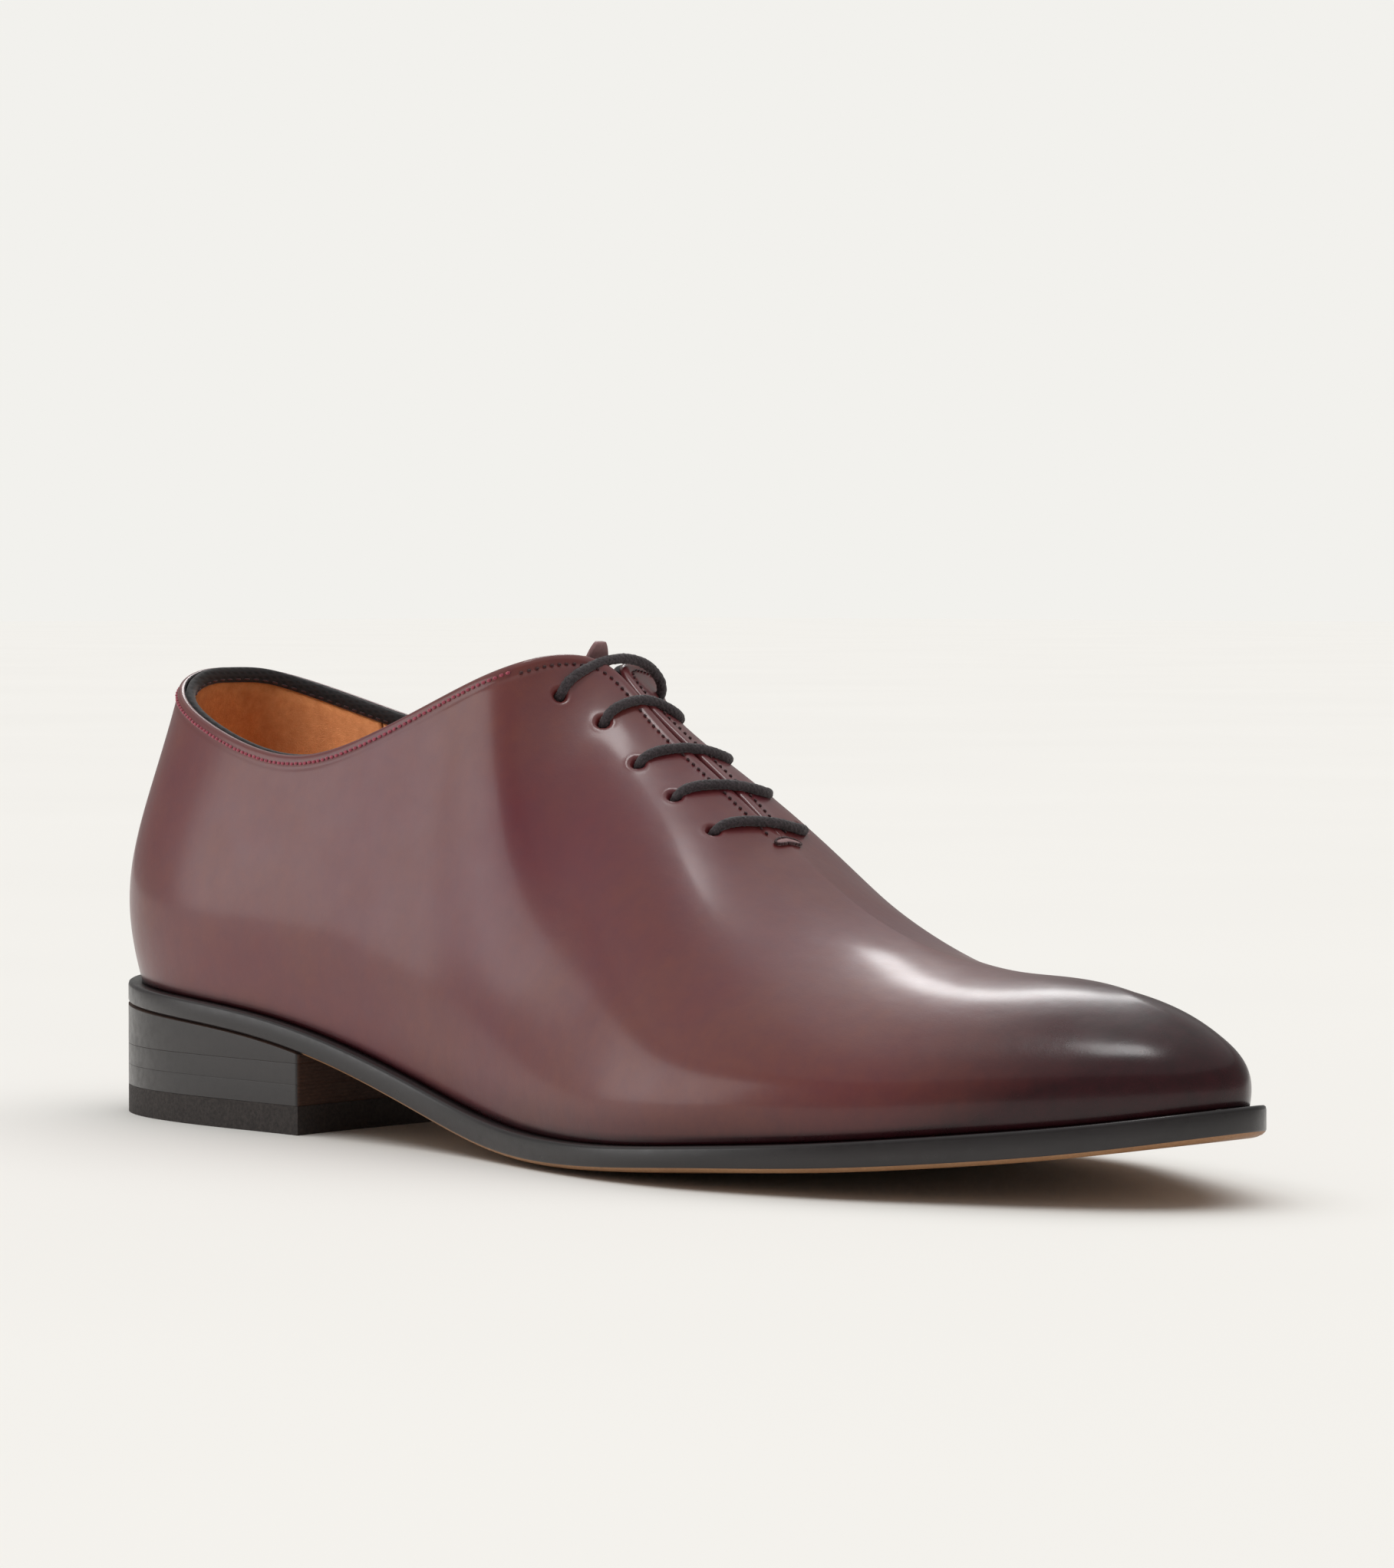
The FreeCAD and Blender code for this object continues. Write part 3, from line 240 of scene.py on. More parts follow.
def outward(side, us, vs):
    """Unit normals of the outer face, in the middle plane where the two sides meet."""
    us, vs = np.broadcast_arrays(np.asarray(us, float), np.asarray(vs, float))
    up = wall(side, us, np.minimum(vs + TINY, 1)) - wall(side, us, np.maximum(vs - TINY, 0))
    along = wall(side, np.minimum(us + TINY, 1), vs) - wall(side, np.maximum(us - TINY, 0), vs)
    back = np.clip(us, SLIT_END, 1 - TINY)
    ridge = wall(side, back + TINY, 1) - wall(side, back, 1)
    normal = np.cross(along, up) * -side
    flat = np.zeros_like(up)
    at_toe = np.stack([up[..., 2], flat[..., 0], -up[..., 0]], axis=-1)
    on_ridge = np.stack([-ridge[..., 2], flat[..., 0], ridge[..., 0]], axis=-1)
    normal = np.where((us < TINY)[..., None], -at_toe, normal)
    normal = np.where((us > 1 - TINY)[..., None], at_toe, normal)
    normal = np.where(((vs > 1 - TINY) & (us > SLIT_END - TINY))[..., None], on_ridge, normal)
    return unit(normal)


def skin(side, us, vs, depth):
    """Points at a depth under the outer face."""
    return wall(side, us, vs) - outward(side, us, vs) * np.asarray(depth, float)[..., None]


def below_top(side, us, distance):
    """v at a distance down the ribs from the top edge."""
    us, distance = np.broadcast_arrays(np.asarray(us, float), np.asarray(distance, float))
    shape = us.shape
    us, distance = us.ravel(), distance.ravel()
    grid = np.linspace(1.0, 0.0, 161)
    ribs = wall(side, us[:, None], grid)
    run = np.cumsum(np.linalg.norm(np.diff(ribs, axis=1), axis=2), axis=1)
    run = np.concatenate([np.zeros((len(us), 1)), run], axis=1)
    made = np.array([np.interp(max(d, 0.0), r, grid) for d, r in zip(distance, run)])
    return made.reshape(shape)


def shelf(side, us, distance, depth):
    """Points at a distance below the top edge (negative is above it) and at a depth."""
    us, distance, depth = np.broadcast_arrays(*[np.asarray(a, float) for a in (us, distance, depth)])
    vs = below_top(side, us, distance)
    points = skin(side, us, vs, depth)
    rise = unit(wall(side, us, 1) - wall(side, us, 0.99))
    return points + rise * np.maximum(-distance, 0.0)[..., None]


# ---------------------------------------------------------------- making pieces
STITCH_RINGS = 7
STITCH_WOBBLE = 0.03
STITCH_RISE = 0.45


def to_frame(points):
    """Last coordinates in millimetres to the frame's metres."""
    points = np.asarray(points, float)
    return (points - (MIDDLE_FORWARD, MIDDLE_ACROSS, 0)) * 0.001


def link(obj):
    bpy.context.scene.collection.objects.link(obj)


def piece(name, points, faces, looks, slot, body="shoe", hides=(), finish=None):
    """A mesh piece of the shoe from points in last coordinates, with its doubled points joined.

    finish gives each face the number of its material.
    """
    mesh = bpy.data.meshes.new(name)
    mesh.from_pydata(to_frame(points).tolist(), [], [tuple(map(int, f)) for f in faces])
    for look in looks:
        mesh.materials.append(LOOKS[look])
    if finish is not None:
        mesh.polygons.foreach_set("material_index", np.asarray(finish, np.int32))
    bm = bmesh.new()
    bm.from_mesh(mesh)
    bmesh.ops.remove_doubles(bm, verts=bm.verts, dist=2e-6)
    bmesh.ops.recalc_face_normals(bm, faces=bm.faces)
    for face in bm.faces:
        face.smooth = True
    bm.to_mesh(mesh)
    bm.free()
    obj = bpy.data.objects.new(name, mesh)
    link(obj)
    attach(obj, body)
    if hides:
        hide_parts(*hides)
    return obj


def grid_faces(rows, columns, wrap=False):
    """Four-sided faces over a grid of points; wrap joins the last column to the first."""
    i, j = np.meshgrid(np.arange(rows - 1), np.arange(columns - (0 if wrap else 1)), indexing="ij")
    k = (j + 1) % columns
    faces = np.stack([i * columns + j, (i + 1) * columns + j, (i + 1) * columns + k,
                      i * columns + k], axis=-1)
    return faces.reshape(-1, 4).tolist()


def loft(sections):
    """Points and faces of a body through closed sections, one after another."""
    count, around = sections.shape[:2]
    faces = grid_faces(count, around, wrap=True)
    faces.append(list(range(around)))
    faces.append(list(range((count - 1) * around, count * around)))
    return sections.reshape(-1, 3), faces


def joined(parts):
    """One set of points and faces out of several."""
    points, faces = [], []
    count = 0
    for some_points, some_faces in parts:
        points.append(some_points)
        faces += [[k + count for k in face] for face in some_faces]
        count += len(some_points)
    return np.concatenate(points), faces


def run_along(path):
    """Distance of each point of a path from its start."""
    return np.concatenate([[0], np.cumsum(np.linalg.norm(np.diff(path, axis=0), axis=1))])


def tube(path, radius, around=8):
    """Round cord along a path with two steady side directions, closed at its ends."""
    path = np.array(path)
    tangents = unit(np.gradient(path, axis=0))
    side = np.cross(tangents[0], (0.3, 0.2, 1.0))
    sides = []
    for tangent in tangents:
        side = side - tangent * np.dot(side, tangent)
        side = side / np.linalg.norm(side)
        sides.append(side)
    sides = np.array(sides)
    ups = np.cross(tangents, sides)
    angles = np.linspace(0, 2 * math.pi, around, endpoint=False)
    ring = sides[:, None] * np.cos(angles)[:, None] + ups[:, None] * np.sin(angles)[:, None]
    return loft(path[:, None] + ring * radius)


def stitch(start, end, radius, bulge):
    """One stitch: thread between two holes, bowed along bulge and thin at its ends."""
    turns = np.linspace(0, math.pi, STITCH_RINGS)
    path = [(start + end) / 2 - (end - start) / 2 * math.cos(t) + bulge * math.sin(t)
            for t in turns]
    thickness = radius * np.sqrt(np.maximum(np.sin(turns), 0.05))
    return tube(path, thickness[:, None, None])


def stitch_row(line, normals, pitch, share, radius, sunk):
    """Stitches along a dense line of points: pitch apart, each share of the pitch long."""
    run = run_along(line)
    parts = []
    for k in range(int(run[-1] / pitch)):
        lengths = ((k + 0.5 - share / 2) * pitch, (k + 0.5 + share / 2) * pitch)
        ends = [np.array([np.interp(s, run, line[:, axis]) for axis in range(3)]) for s in lengths]
        up = np.array([np.interp(sum(lengths) / 2, run, normals[:, axis]) for axis in range(3)])
        wobble = chance.normal(0, STITCH_WOBBLE, 3)
        parts.append(stitch(ends[0] - up * sunk + wobble, ends[1] - up * sunk + wobble, radius,
                            up * (sunk + radius * STITCH_RISE)))
    return joined(parts)


# ---------------------------------------------------------------- materials
def linear(*srgb):
    """Linear colour from 0-255 screen values."""
    steps = [c / 255 / 12.92 if c < 11 else ((c / 255 + 0.055) / 1.055) ** 2.4 for c in srgb]
    return tuple(steps) + (1,)


def shade(colour, share):
    """A darker version of a screen colour."""
    return tuple(c * share for c in colour)


LOOKS = {}


class Nodes:
    """Small helper that adds nodes to one material, links them and lists it in LOOKS."""

    def __init__(self, name):
        self.material = bpy.data.materials.new(name)
        self.material.use_nodes = True
        LOOKS[name] = self.material
        self.tree = self.material.node_tree
        self.shader = self.tree.nodes["Principled BSDF"]
        self.place = self.add("ShaderNodeTexCoord").outputs["Object"]
        self.height = None

    def add(self, kind, **inputs):
        node = self.tree.nodes.new(kind)
        for key, value in inputs.items():
            self.feed(node.inputs[key.replace("_", " ")], value)
        return node

    def feed(self, socket, value):
        if isinstance(value, bpy.types.NodeSocket):
            self.tree.links.new(value, socket)
        else:
            socket.default_value = value

    def set(self, **inputs):
        for key, value in inputs.items():
            self.feed(self.shader.inputs[key.replace("_", " ")], value)

    def noise(self, per_metre, detail=3.0, rough=0.5, stretch=None):
        spot = self.place
        if stretch:
            spot = self.add("ShaderNodeMapping", Vector=spot, Scale=stretch).outputs[0]
        return self.add("ShaderNodeTexNoise", Vector=spot, Scale=per_metre, Detail=detail,
                        Roughness=rough).outputs["Fac"]

    def mottle(self, *noise):
        """Noise stretched to reach both ends of 0 to 1."""
        return self.span(self.noise(*noise), 0.3, 0.7)

    def cells(self, per_metre):
        return self.add("ShaderNodeTexVoronoi", Vector=self.place, Scale=per_metre).outputs["Distance"]

    def waves(self, per_metre, distortion, detail, direction):
        node = self.add("ShaderNodeTexWave", Vector=self.place, Scale=per_metre,
                        Distortion=distortion, Detail=detail)
        node.bands_direction = direction
        return node.outputs["Fac"]

    def span(self, value, low, high, start=0.0, end=1.0):
        node = self.tree.nodes.new("ShaderNodeMapRange")
        for key, number in (("Value", value), ("From Min", low), ("From Max", high),
                            ("To Min", start), ("To Max", end)):
            self.feed(node.inputs[key], number)
        return node.outputs[0]

    def math(self, kind, one, two):
        node = self.tree.nodes.new("ShaderNodeMath")
        node.operation = kind
        self.feed(node.inputs[0], one)
        self.feed(node.inputs[1], two)
        return node.outputs[0]

    def mix(self, share, one, two):
        """One colour where share is 0 and two where it is 1; screen colours or sockets."""
        node = self.tree.nodes.new("ShaderNodeMix")
        node.data_type = "RGBA"
        self.feed(node.inputs[0], share)
        for socket, value in ((node.inputs[6], one), (node.inputs[7], two)):
            self.feed(socket, linear(*value) if isinstance(value, tuple) else value)
        return node.outputs[2]

    def attribute(self, name):
        node = self.tree.nodes.new("ShaderNodeAttribute")
        node.attribute_name = name
        return node.outputs["Fac"]

    def bump(self, height, strength, millimetres):
        node = self.add("ShaderNodeBump", Height=height, Strength=strength,
                        Distance=millimetres * 0.001)
        if self.height is not None:
            self.feed(node.inputs["Normal"], self.height)
        self.height = node.outputs["Normal"]
        self.set(Normal=self.height)


def upper_leather():
    """Polished calf: red-brown patches, with fine grain; darker where the attribute is high, which is
    polish patina on the toe and heel and painted shade along the crease above the sole.
    """
    m = Nodes("upper_leather")
    patches = m.span(m.noise(22, 3, 0.55), 0.35, 0.65)
    fine = m.mottle(260, 4, 0.65)
    red = m.mix(patches, (108, 32, 42), (116, 52, 42))
    red = m.mix(m.math("MULTIPLY", fine, 0.35), red, (88, 28, 48))
    dark = m.mix(fine, (56, 12, 20), (40, 8, 14))
    # The attribute holds polish patina and painted crease shade.
    burnish = m.attribute("burnish")
    colour = m.mix(burnish, red, dark)
    matt = m.span(m.noise(90, 4, 0.6), 0.3, 0.7, 0.38, 0.48)
    m.set(Base_Color=colour, Roughness=m.math("SUBTRACT", matt, m.math("MULTIPLY", burnish, 0.14)))
    m.set(IOR=1.5, Coat_Weight=m.span(burnish, 0, 1, 0.5, 0.3), Coat_Roughness=0.17, Coat_IOR=1.5)
    m.set(Specular_IOR_Level=m.span(burnish, 0, 1, 0.5, 0.25))
    m.bump(m.noise(9000, 2, 0.6), 0.10, 0.05)
    m.bump(m.cells(2600), 0.12, 0.05)
    m.bump(m.noise(1100, 3, 0.6), 0.10, 0.12)
    m.bump(m.noise(120, 2, 0.5), 0.25, 0.5)


def plain_leather(name, light, dark, rough, grain=1800, depth=0.08):
    """Unpolished leather with mottling and open pores."""
    m = Nodes(name)
    broad = m.mottle(60, 4, 0.6)
    fine = m.mottle(1400, 3, 0.7)
    colour = m.mix(broad, light, dark)
    colour = m.mix(m.math("MULTIPLY", fine, 0.4), colour, shade(dark, 0.8))
    m.set(Base_Color=colour, Roughness=m.span(fine, 0, 1, rough - 0.08, rough + 0.08))
    m.bump(m.cells(grain), 0.4, depth)
    m.bump(m.noise(5000, 3, 0.7), 0.3, 0.05)


def suede(name, light, dark):
    """Napped leather: clumps of nap with a soft edge sheen."""
    m = Nodes(name)
    nap = m.mottle(500, 5, 0.75)
    brushed = m.mottle(70, 3, 0.6, (1, 1, 0.3))
    colour = m.mix(nap, light, dark)
    colour = m.mix(m.math("MULTIPLY", brushed, 0.5), colour, shade(dark, 0.78))
    m.set(Base_Color=colour, Roughness=0.93, Sheen_Weight=0.5, Sheen_Roughness=0.5)
    m.set(Sheen_Tint=linear(214, 170, 130))
    m.bump(m.noise(2600, 4, 0.8), 0.7, 0.25)


def sole_edge_paint(name, light, dark, rough):
    """Waxed edge ink over leather, with fine lengthwise scraping."""
    m = Nodes(name)
    layers = m.mottle(70, 3, 0.6, (0.4, 0.4, 2))
    colour = m.mix(layers, light, dark)
    m.set(Base_Color=colour, Roughness=m.span(m.noise(500, 3, 0.6), 0.3, 0.7, rough - 0.07, rough + 0.07))
    m.set(Coat_Weight=0.2, Coat_Roughness=0.25)
    m.bump(m.noise(300, 3, 0.6, (0.15, 0.15, 2)), 0.12, 0.1)
    m.bump(m.noise(4000, 2, 0.6), 0.15, 0.05)


def stacked_leather():
    """Cut edges of leather layers: thin level lines over brown."""
    m = Nodes("stacked_leather")
    layers = m.waves(420, 0.6, 3, "Z")
    fibres = m.mottle(900, 4, 0.7, (1, 1, 3))
    colour = m.mix(fibres, (84, 54, 38), (58, 36, 26))
    colour = m.mix(m.math("MULTIPLY", layers, 0.35), colour, (38, 22, 16))
    m.set(Base_Color=colour, Roughness=m.span(fibres, 0, 1, 0.55, 0.72))
    m.bump(layers, 0.25, 0.1)
    m.bump(m.noise(3500, 3, 0.7), 0.3, 0.08)


def moulded(name, light, dark, per_metre, rough, grain):
    """Rubber or plastic from a mould; grain is the bump's noise, strength and depth."""
    m = Nodes(name)
    tone = m.mottle(per_metre, 3, 0.6)
    m.set(Base_Color=m.mix(tone, light, dark), Roughness=m.span(tone, 0, 1, *rough))
    noise, strength, depth = grain
    m.bump(m.noise(*noise), strength, depth)


def metal(name, light, dark, rough):
    m = Nodes(name)
    scratches = m.mottle(900, 3, 0.7, (1, 6, 1))
    m.set(Base_Color=m.mix(scratches, light, dark), Metallic=1.0)
    m.set(Roughness=m.span(scratches, 0, 1, rough - 0.06, rough + 0.08))
    m.bump(scratches, 0.1, 0.03)


def cork():
    m = Nodes("cork")
    grains = m.span(m.cells(420), 0.1, 0.7)
    fine = m.mottle(1300, 4, 0.7)
    colour = m.mix(grains, (104, 66, 40), (188, 144, 98))
    m.set(Base_Color=m.mix(m.math("MULTIPLY", fine, 0.4), colour, (128, 88, 56)), Roughness=0.85)
    m.bump(grains, 0.6, 0.3)


def foam():
    m = Nodes("foam")
    holes = m.cells(1600)
    m.set(Base_Color=m.mix(m.span(holes, 0.1, 0.6), (150, 140, 120), (214, 206, 184)))
    m.set(Roughness=0.95)
    m.bump(holes, 0.8, 0.2)


def woven(name, light, dark, threads):
    """Fine textile: two sets of crossing threads."""
    m = Nodes(name)
    weave = m.math("MAXIMUM", m.waves(threads, 0.4, 1, "DIAGONAL"), m.waves(threads, 0.4, 1, "Z"))
    fuzz = m.mottle(2500, 3, 0.7)
    colour = m.mix(weave, dark, light)
    m.set(Base_Color=m.mix(m.math("MULTIPLY", fuzz, 0.3), colour, dark), Roughness=0.85)
    m.set(Sheen_Weight=0.3, Sheen_Roughness=0.4)
    m.bump(weave, 0.6, 0.1)


def thread(name, light, dark):
    m = Nodes(name)
    twist = m.mottle(3000, 2, 0.6)
    m.set(Base_Color=m.mix(twist, light, dark), Roughness=0.55)
    m.set(Sheen_Weight=0.2)
    m.bump(twist, 0.4, 0.06)


def cord_material():
    """Waxed cotton cord: charcoal with paler fuzz."""
    m = Nodes("lace_cord")
    fuzz = m.span(m.noise(2400, 4, 0.8), 0.4, 0.7)
    tone = m.mottle(300, 2, 0.6)
    colour = m.mix(tone, (44, 36, 39), (28, 22, 25))
    m.set(Base_Color=m.mix(m.math("MULTIPLY", fuzz, 0.6), colour, (112, 98, 104)), Roughness=0.6)
    m.set(Sheen_Weight=0.25, Sheen_Roughness=0.35)
    m.bump(m.noise(3200, 4, 0.8), 0.8, 0.25)


upper_leather()
# Pale pinkish-grey: the sheen of the tongue's highlight is painted into its base colour.
plain_leather("tongue_leather", (186, 146, 146), (150, 108, 110), 0.4, 2600, 0.05)
plain_leather("lining_leather", (176, 122, 82), (150, 98, 62), 0.6)
suede("lining_suede", (226, 152, 92), (196, 120, 66))
plain_leather("insole_leather", (172, 124, 86), (150, 102, 66), 0.55)
plain_leather("sole_leather", (176, 132, 92), (150, 106, 70), 0.5, 1500, 0.06)
sole_edge_paint("sole_edge_ink", (34, 27, 29), (22, 17, 19), 0.34)
# Dark ink on the upper's cut edges, and painted shade on its inner faces that makes the slit between the
# facings dark.
sole_edge_paint("cut_edge_ink", (46, 32, 36), (30, 20, 24), 0.62)
sole_edge_paint("heel_edge_ink", (40, 33, 33), (26, 21, 22), 0.36)
stacked_leather()
plain_leather("stiffener_leather", (196, 170, 138), (170, 142, 110), 0.8)
moulded("heel_rubber", (52, 42, 38), (34, 28, 27), 1500, (0.6, 0.75),
         ((4500, 3, 0.7), 0.3, 0.08))
metal("steel", (190, 190, 192), (150, 150, 154), 0.35)
metal("brass", (206, 170, 96), (170, 132, 66), 0.35)
cork()
foam()
woven("canvas", (208, 196, 172), (168, 152, 124), 260)
woven("binding_tape", (44, 41, 43), (22, 20, 22), 300)
cord_material()
moulded("aglet_plastic", (40, 38, 40), (30, 28, 30), 500, (0.25, 0.38),
         ((1500, 2, 0.6), 0.1, 0.04))
# Dark thread, also used for the painted shade of the topline stitch holes.
thread("dark_thread", (74, 16, 24), (40, 8, 14))
thread("pink_thread", (192, 84, 104), (132, 40, 60))
thread("tan_thread", (206, 166, 122), (170, 128, 88))


# ---------------------------------------------------------------- upper
# Place of each lace hole on either side, top pair first: (u, v).
LACE_HOLES = ((0.5, 0.89), (0.541, 0.862), (0.575, 0.858), (0.601, 0.858), (0.628, 0.858))
HOLE_RADIUS = 1.35
EDGE_ROUND = 0.8
# The stitch groove beside the slit, and the swelling between it and the edge.
GROOVE_DEPTH = 0.14
GROOVE_WIDTH = 0.55
SWELL_BELOW = 1.5
SWELL_WIDTH = 0.8
# How a lace hole shapes the leather: a low lip, the lace's pull, and the hole's own wall.
HOLE_REACH = 8
LIP_HEIGHT = 0.05
LIP_RADIUS = 2.1
LIP_WIDTH = 0.5
PULL_DEPTH = 0.3
PULL_WIDTH = 0.8
WELL_DEPTH = 2.4
WELL_WIDTH = 0.6
WELL_INSIDE = 0.55
# Over the cut edge and down the inner face: (inwards, down).
CUT_EDGE = ((0.85, 0), (0.98, 0), (1.15, 0.06), (1.3, 0.2), (1.4, 0.45), (1.4, 1.2), (1.4, 2.5), (1.4, 6))
FOOT_DEPTH = 1.2
FACING_STITCH = 2.9
TOPLINE_STITCH = 2.0


def spaced(stops, gaps):
    """Values from stop to stop, about gap apart in each stretch."""
    made = [np.linspace(a, b, max(2, int(round((b - a) / gap)) + 1))[:-1]
            for a, b, gap in zip(stops, stops[1:], gaps)]
    return np.concatenate(made + [[stops[-1]]])


ALONG_QUARTERS = spaced((0.0, 0.46, SLIT_END), (0.0038, 0.0013))
ALONG_VAMP = spaced((SLIT_END, 0.72, 1.0), (0.002, 0.0033))
UP_THE_RIBS = spaced((0.0, 0.77, 0.985, 0.9975, 1.0), (0.0125, 0.0045, 0.0025, 0.0006))


def waves(points):
    """Small unevenness of pulled leather, in millimetres."""
    x, y, z = np.moveaxis(points, -1, 0)
    return (0.05 * np.sin(0.07 * x + 0.9) * np.sin(0.09 * y + 0.06 * z)
            + 0.012 * np.sin(0.21 * x - 0.16 * z + 2) * np.sin(0.17 * y + 0.13 * z))


def hollow(distance, width):
    return np.exp(-(distance / width) ** 2)


def facing_surface(side, us):
    """The upper's outer face with its stitch grooves, turned edge, lace holes and ripples."""
    flat = wall(side, us[:, None], UP_THE_RIBS)
    normals = outward(side, us[:, None], UP_THE_RIBS)
    back = np.linalg.norm(np.diff(flat, axis=1), axis=2)[:, ::-1]
    below = np.concatenate([np.zeros((len(us), 1)), np.cumsum(back, axis=1)], axis=1)[:, ::-1]
    open_top = smooth((SLIT_END + 0.004 - us) / 0.012)[:, None]
    groove = hollow(below - FACING_STITCH, GROOVE_WIDTH)
    swell = hollow(below - SWELL_BELOW, SWELL_WIDTH)
    height = GROOVE_DEPTH * (swell - groove) * open_top
    height += waves(flat) * smooth(UP_THE_RIBS / 0.15) * smooth(below / 8)
    made = flat + normals * height[..., None]
    round_off = EDGE_ROUND * smooth((SLIT_END - us) / 0.02)[:, None]
    inside = np.clip(round_off - below, 0, None)
    drop = round_off - np.sqrt(np.clip(round_off ** 2 - inside ** 2, 0, None))
    made -= normals * drop[..., None]
    gone = np.zeros(flat.shape[:2], bool)
    for spot in LACE_HOLES:
        axis = outward(side, *spot)
        away = flat - wall(side, *spot)
        radial = away - axis * (away @ axis)[..., None]
        distance = np.linalg.norm(radial, axis=-1)
        lip = LIP_HEIGHT * hollow(distance - LIP_RADIUS, LIP_WIDTH)
        pull = PULL_DEPTH * (1 - smooth((distance - HOLE_RADIUS) / PULL_WIDTH))
        well = WELL_DEPTH * (1 - smooth((distance - HOLE_RADIUS + WELL_INSIDE) / WELL_WIDTH))
        made += axis * np.where(distance < HOLE_REACH, lip - pull - well, 0)[..., None]
        gone |= distance < HOLE_RADIUS - WELL_INSIDE
    foot = made[:, :1] - normals[:, :1] * FOOT_DEPTH
    return np.concatenate([foot, made], axis=1), np.pad(gone, ((0, 0), (1, 0)))


def turned_edge(side, us):
    """Rows from the top edge over the cut edge and down the inner face."""
    edge = wall(side, us, 1)
    normal = outward(side, us, 0.995)
    rise = unit(wall(side, us, 1) - wall(side, us, 0.985))
    shrink = smooth((SLIT_END - us) / 0.02)
    rows = []
    for inwards, down in CUT_EDGE:
        rows.append(edge - (normal * inwards + rise * down) * (0.04 + 0.96 * shrink)[:, None])
    return np.stack(rows, axis=1)


def quarter_part(side):
    """Points of one quarter, from the heel to the slit's end, and which of them a hole takes."""
    outer, gone = facing_surface(side, ALONG_QUARTERS)
    top = turned_edge(side, ALONG_QUARTERS)
    return np.concatenate([outer, top], axis=1), np.pad(gone, ((0, 0), (0, len(CUT_EDGE))))


def vamp_part(side):
    return facing_surface(side, ALONG_VAMP)


def sheet_part(sheet, gone):
    faces = grid_faces(*sheet.shape[:2])
    lost = gone.ravel()
    return sheet.reshape(-1, 3), [f for f in faces if not lost[list(f)].all()]


def inked_and_shaded(parts, outer_rows):
    """Material number of each face: 1 on cut edges and inner faces beyond the outer rows; the dark ink is
    real on the cut edges and painted shade on the inner faces, darkening the slit.
    """
    finish = []
    for (points, faces), width in parts:
        finish += [1 if face[0] % width > outer_rows else 0 for face in faces]
    return finish


def burnish_and_shade_at(points):
    """0 on bare calf to 1 where it is dark: polish patina on the toe and round the heel, a darker band
    above the sole, and painted shade in the crease where the upper meets the sole.
    """
    x, y, z = points.T
    above_sole = z - feather_height(x)
    toe = smooth((x - 222 - 0.35 * (40 - np.minimum(above_sole, 40))) / 52)
    welt = 0.55 * (1 - smooth(above_sole / 11)) * smooth((x - 90) / 90)
    heel = 0.25 * (1 - smooth((x - 4) / 40)) * (1 - smooth((above_sole - 8) / 30))
    # Painted shade: the dark crease line where the upper meets the sole.
    seam = 1 - smooth(above_sole / 2.4)
    return np.clip(toe + welt + heel + seam, 0, 1)


def add_attribute(obj, name, function):
    mesh = obj.data
    spots = np.empty(len(mesh.vertices) * 3)
    mesh.vertices.foreach_get("co", spots)
    spots = spots.reshape(-1, 3) * 1000 + (MIDDLE_FORWARD, MIDDLE_ACROSS, 0)
    layer = mesh.attributes.new(name, "FLOAT", "POINT")
    layer.data.foreach_set("value", function(spots).astype(np.float32))


def make_upper():
    parts = []
    for make_sheet in (quarter_part, vamp_part):
        for side in BOTH:
            sheet, gone = make_sheet(side)
            parts.append((sheet_part(sheet, gone), sheet.shape[1]))
    upper = piece("upper", *joined([part for part, width in parts]),
                  ("upper_leather", "cut_edge_ink"), "upper_leather",
                  hides=("upper_wholecut",), finish=inked_and_shaded(parts, len(UP_THE_RIBS) + 1))
    # Polish patina and painted crease shade, stored for each point.
    add_attribute(upper, "burnish", burnish_and_shade_at)


# ---------------------------------------------------------------- stitches
# Pitch, share of the pitch that shows, thread radius and how deep its ends are sunk.
FACING_THREAD = (1.7, 0.4, 0.27, 0.12)
TOPLINE_THREAD = (1.45, 0.58, 0.36, 0.06)
# Painted shade of the stitch holes: short dark bits of thread at each end of the pink topline stitches.
TOPLINE_HOLE_SHADE = (1.45 / 2, 0.34, 0.2, 0.1)
LINING_THREAD = (2.6, 0.62, 0.26, 0.1)
TAPE_THREAD = (2.2, 0.6, 0.2, 0.08)
TACK_THREAD = 0.3


def stitches_below(name, us, distance, kind, look):
    """Rows of stitches on the outer face of both sides, a distance below the top edge."""
    rows = []
    for side in BOTH:
        vs = below_top(side, us, distance)
        rows.append(stitch_row(wall(side, us, vs), outward(side, us, vs), *kind))
    piece(name, *joined(rows), (look,), "thread")


def make_outer_stitches():
    facing = np.linspace(0.462, SLIT_END - 0.004, 400)
    topline = np.linspace(0.0, 0.458, 900)
    stitches_below("facing_stitches", facing, FACING_STITCH, FACING_THREAD, "dark_thread")
    stitches_below("topline_stitches", topline, TOPLINE_STITCH, TOPLINE_THREAD, "pink_thread")
    # Painted shade: dark bits of thread standing for the shaded stitch holes.
    stitches_below("topline_holes", topline, TOPLINE_STITCH, TOPLINE_HOLE_SHADE, "dark_thread")


# ---------------------------------------------------------------- linings and binding
LINING_ROWS = 26
LINING_FOOT = 0.035
SEAM_GAP = 0.001
TAPE_COVERS = 1.9
FACING_COVERS = 1.4


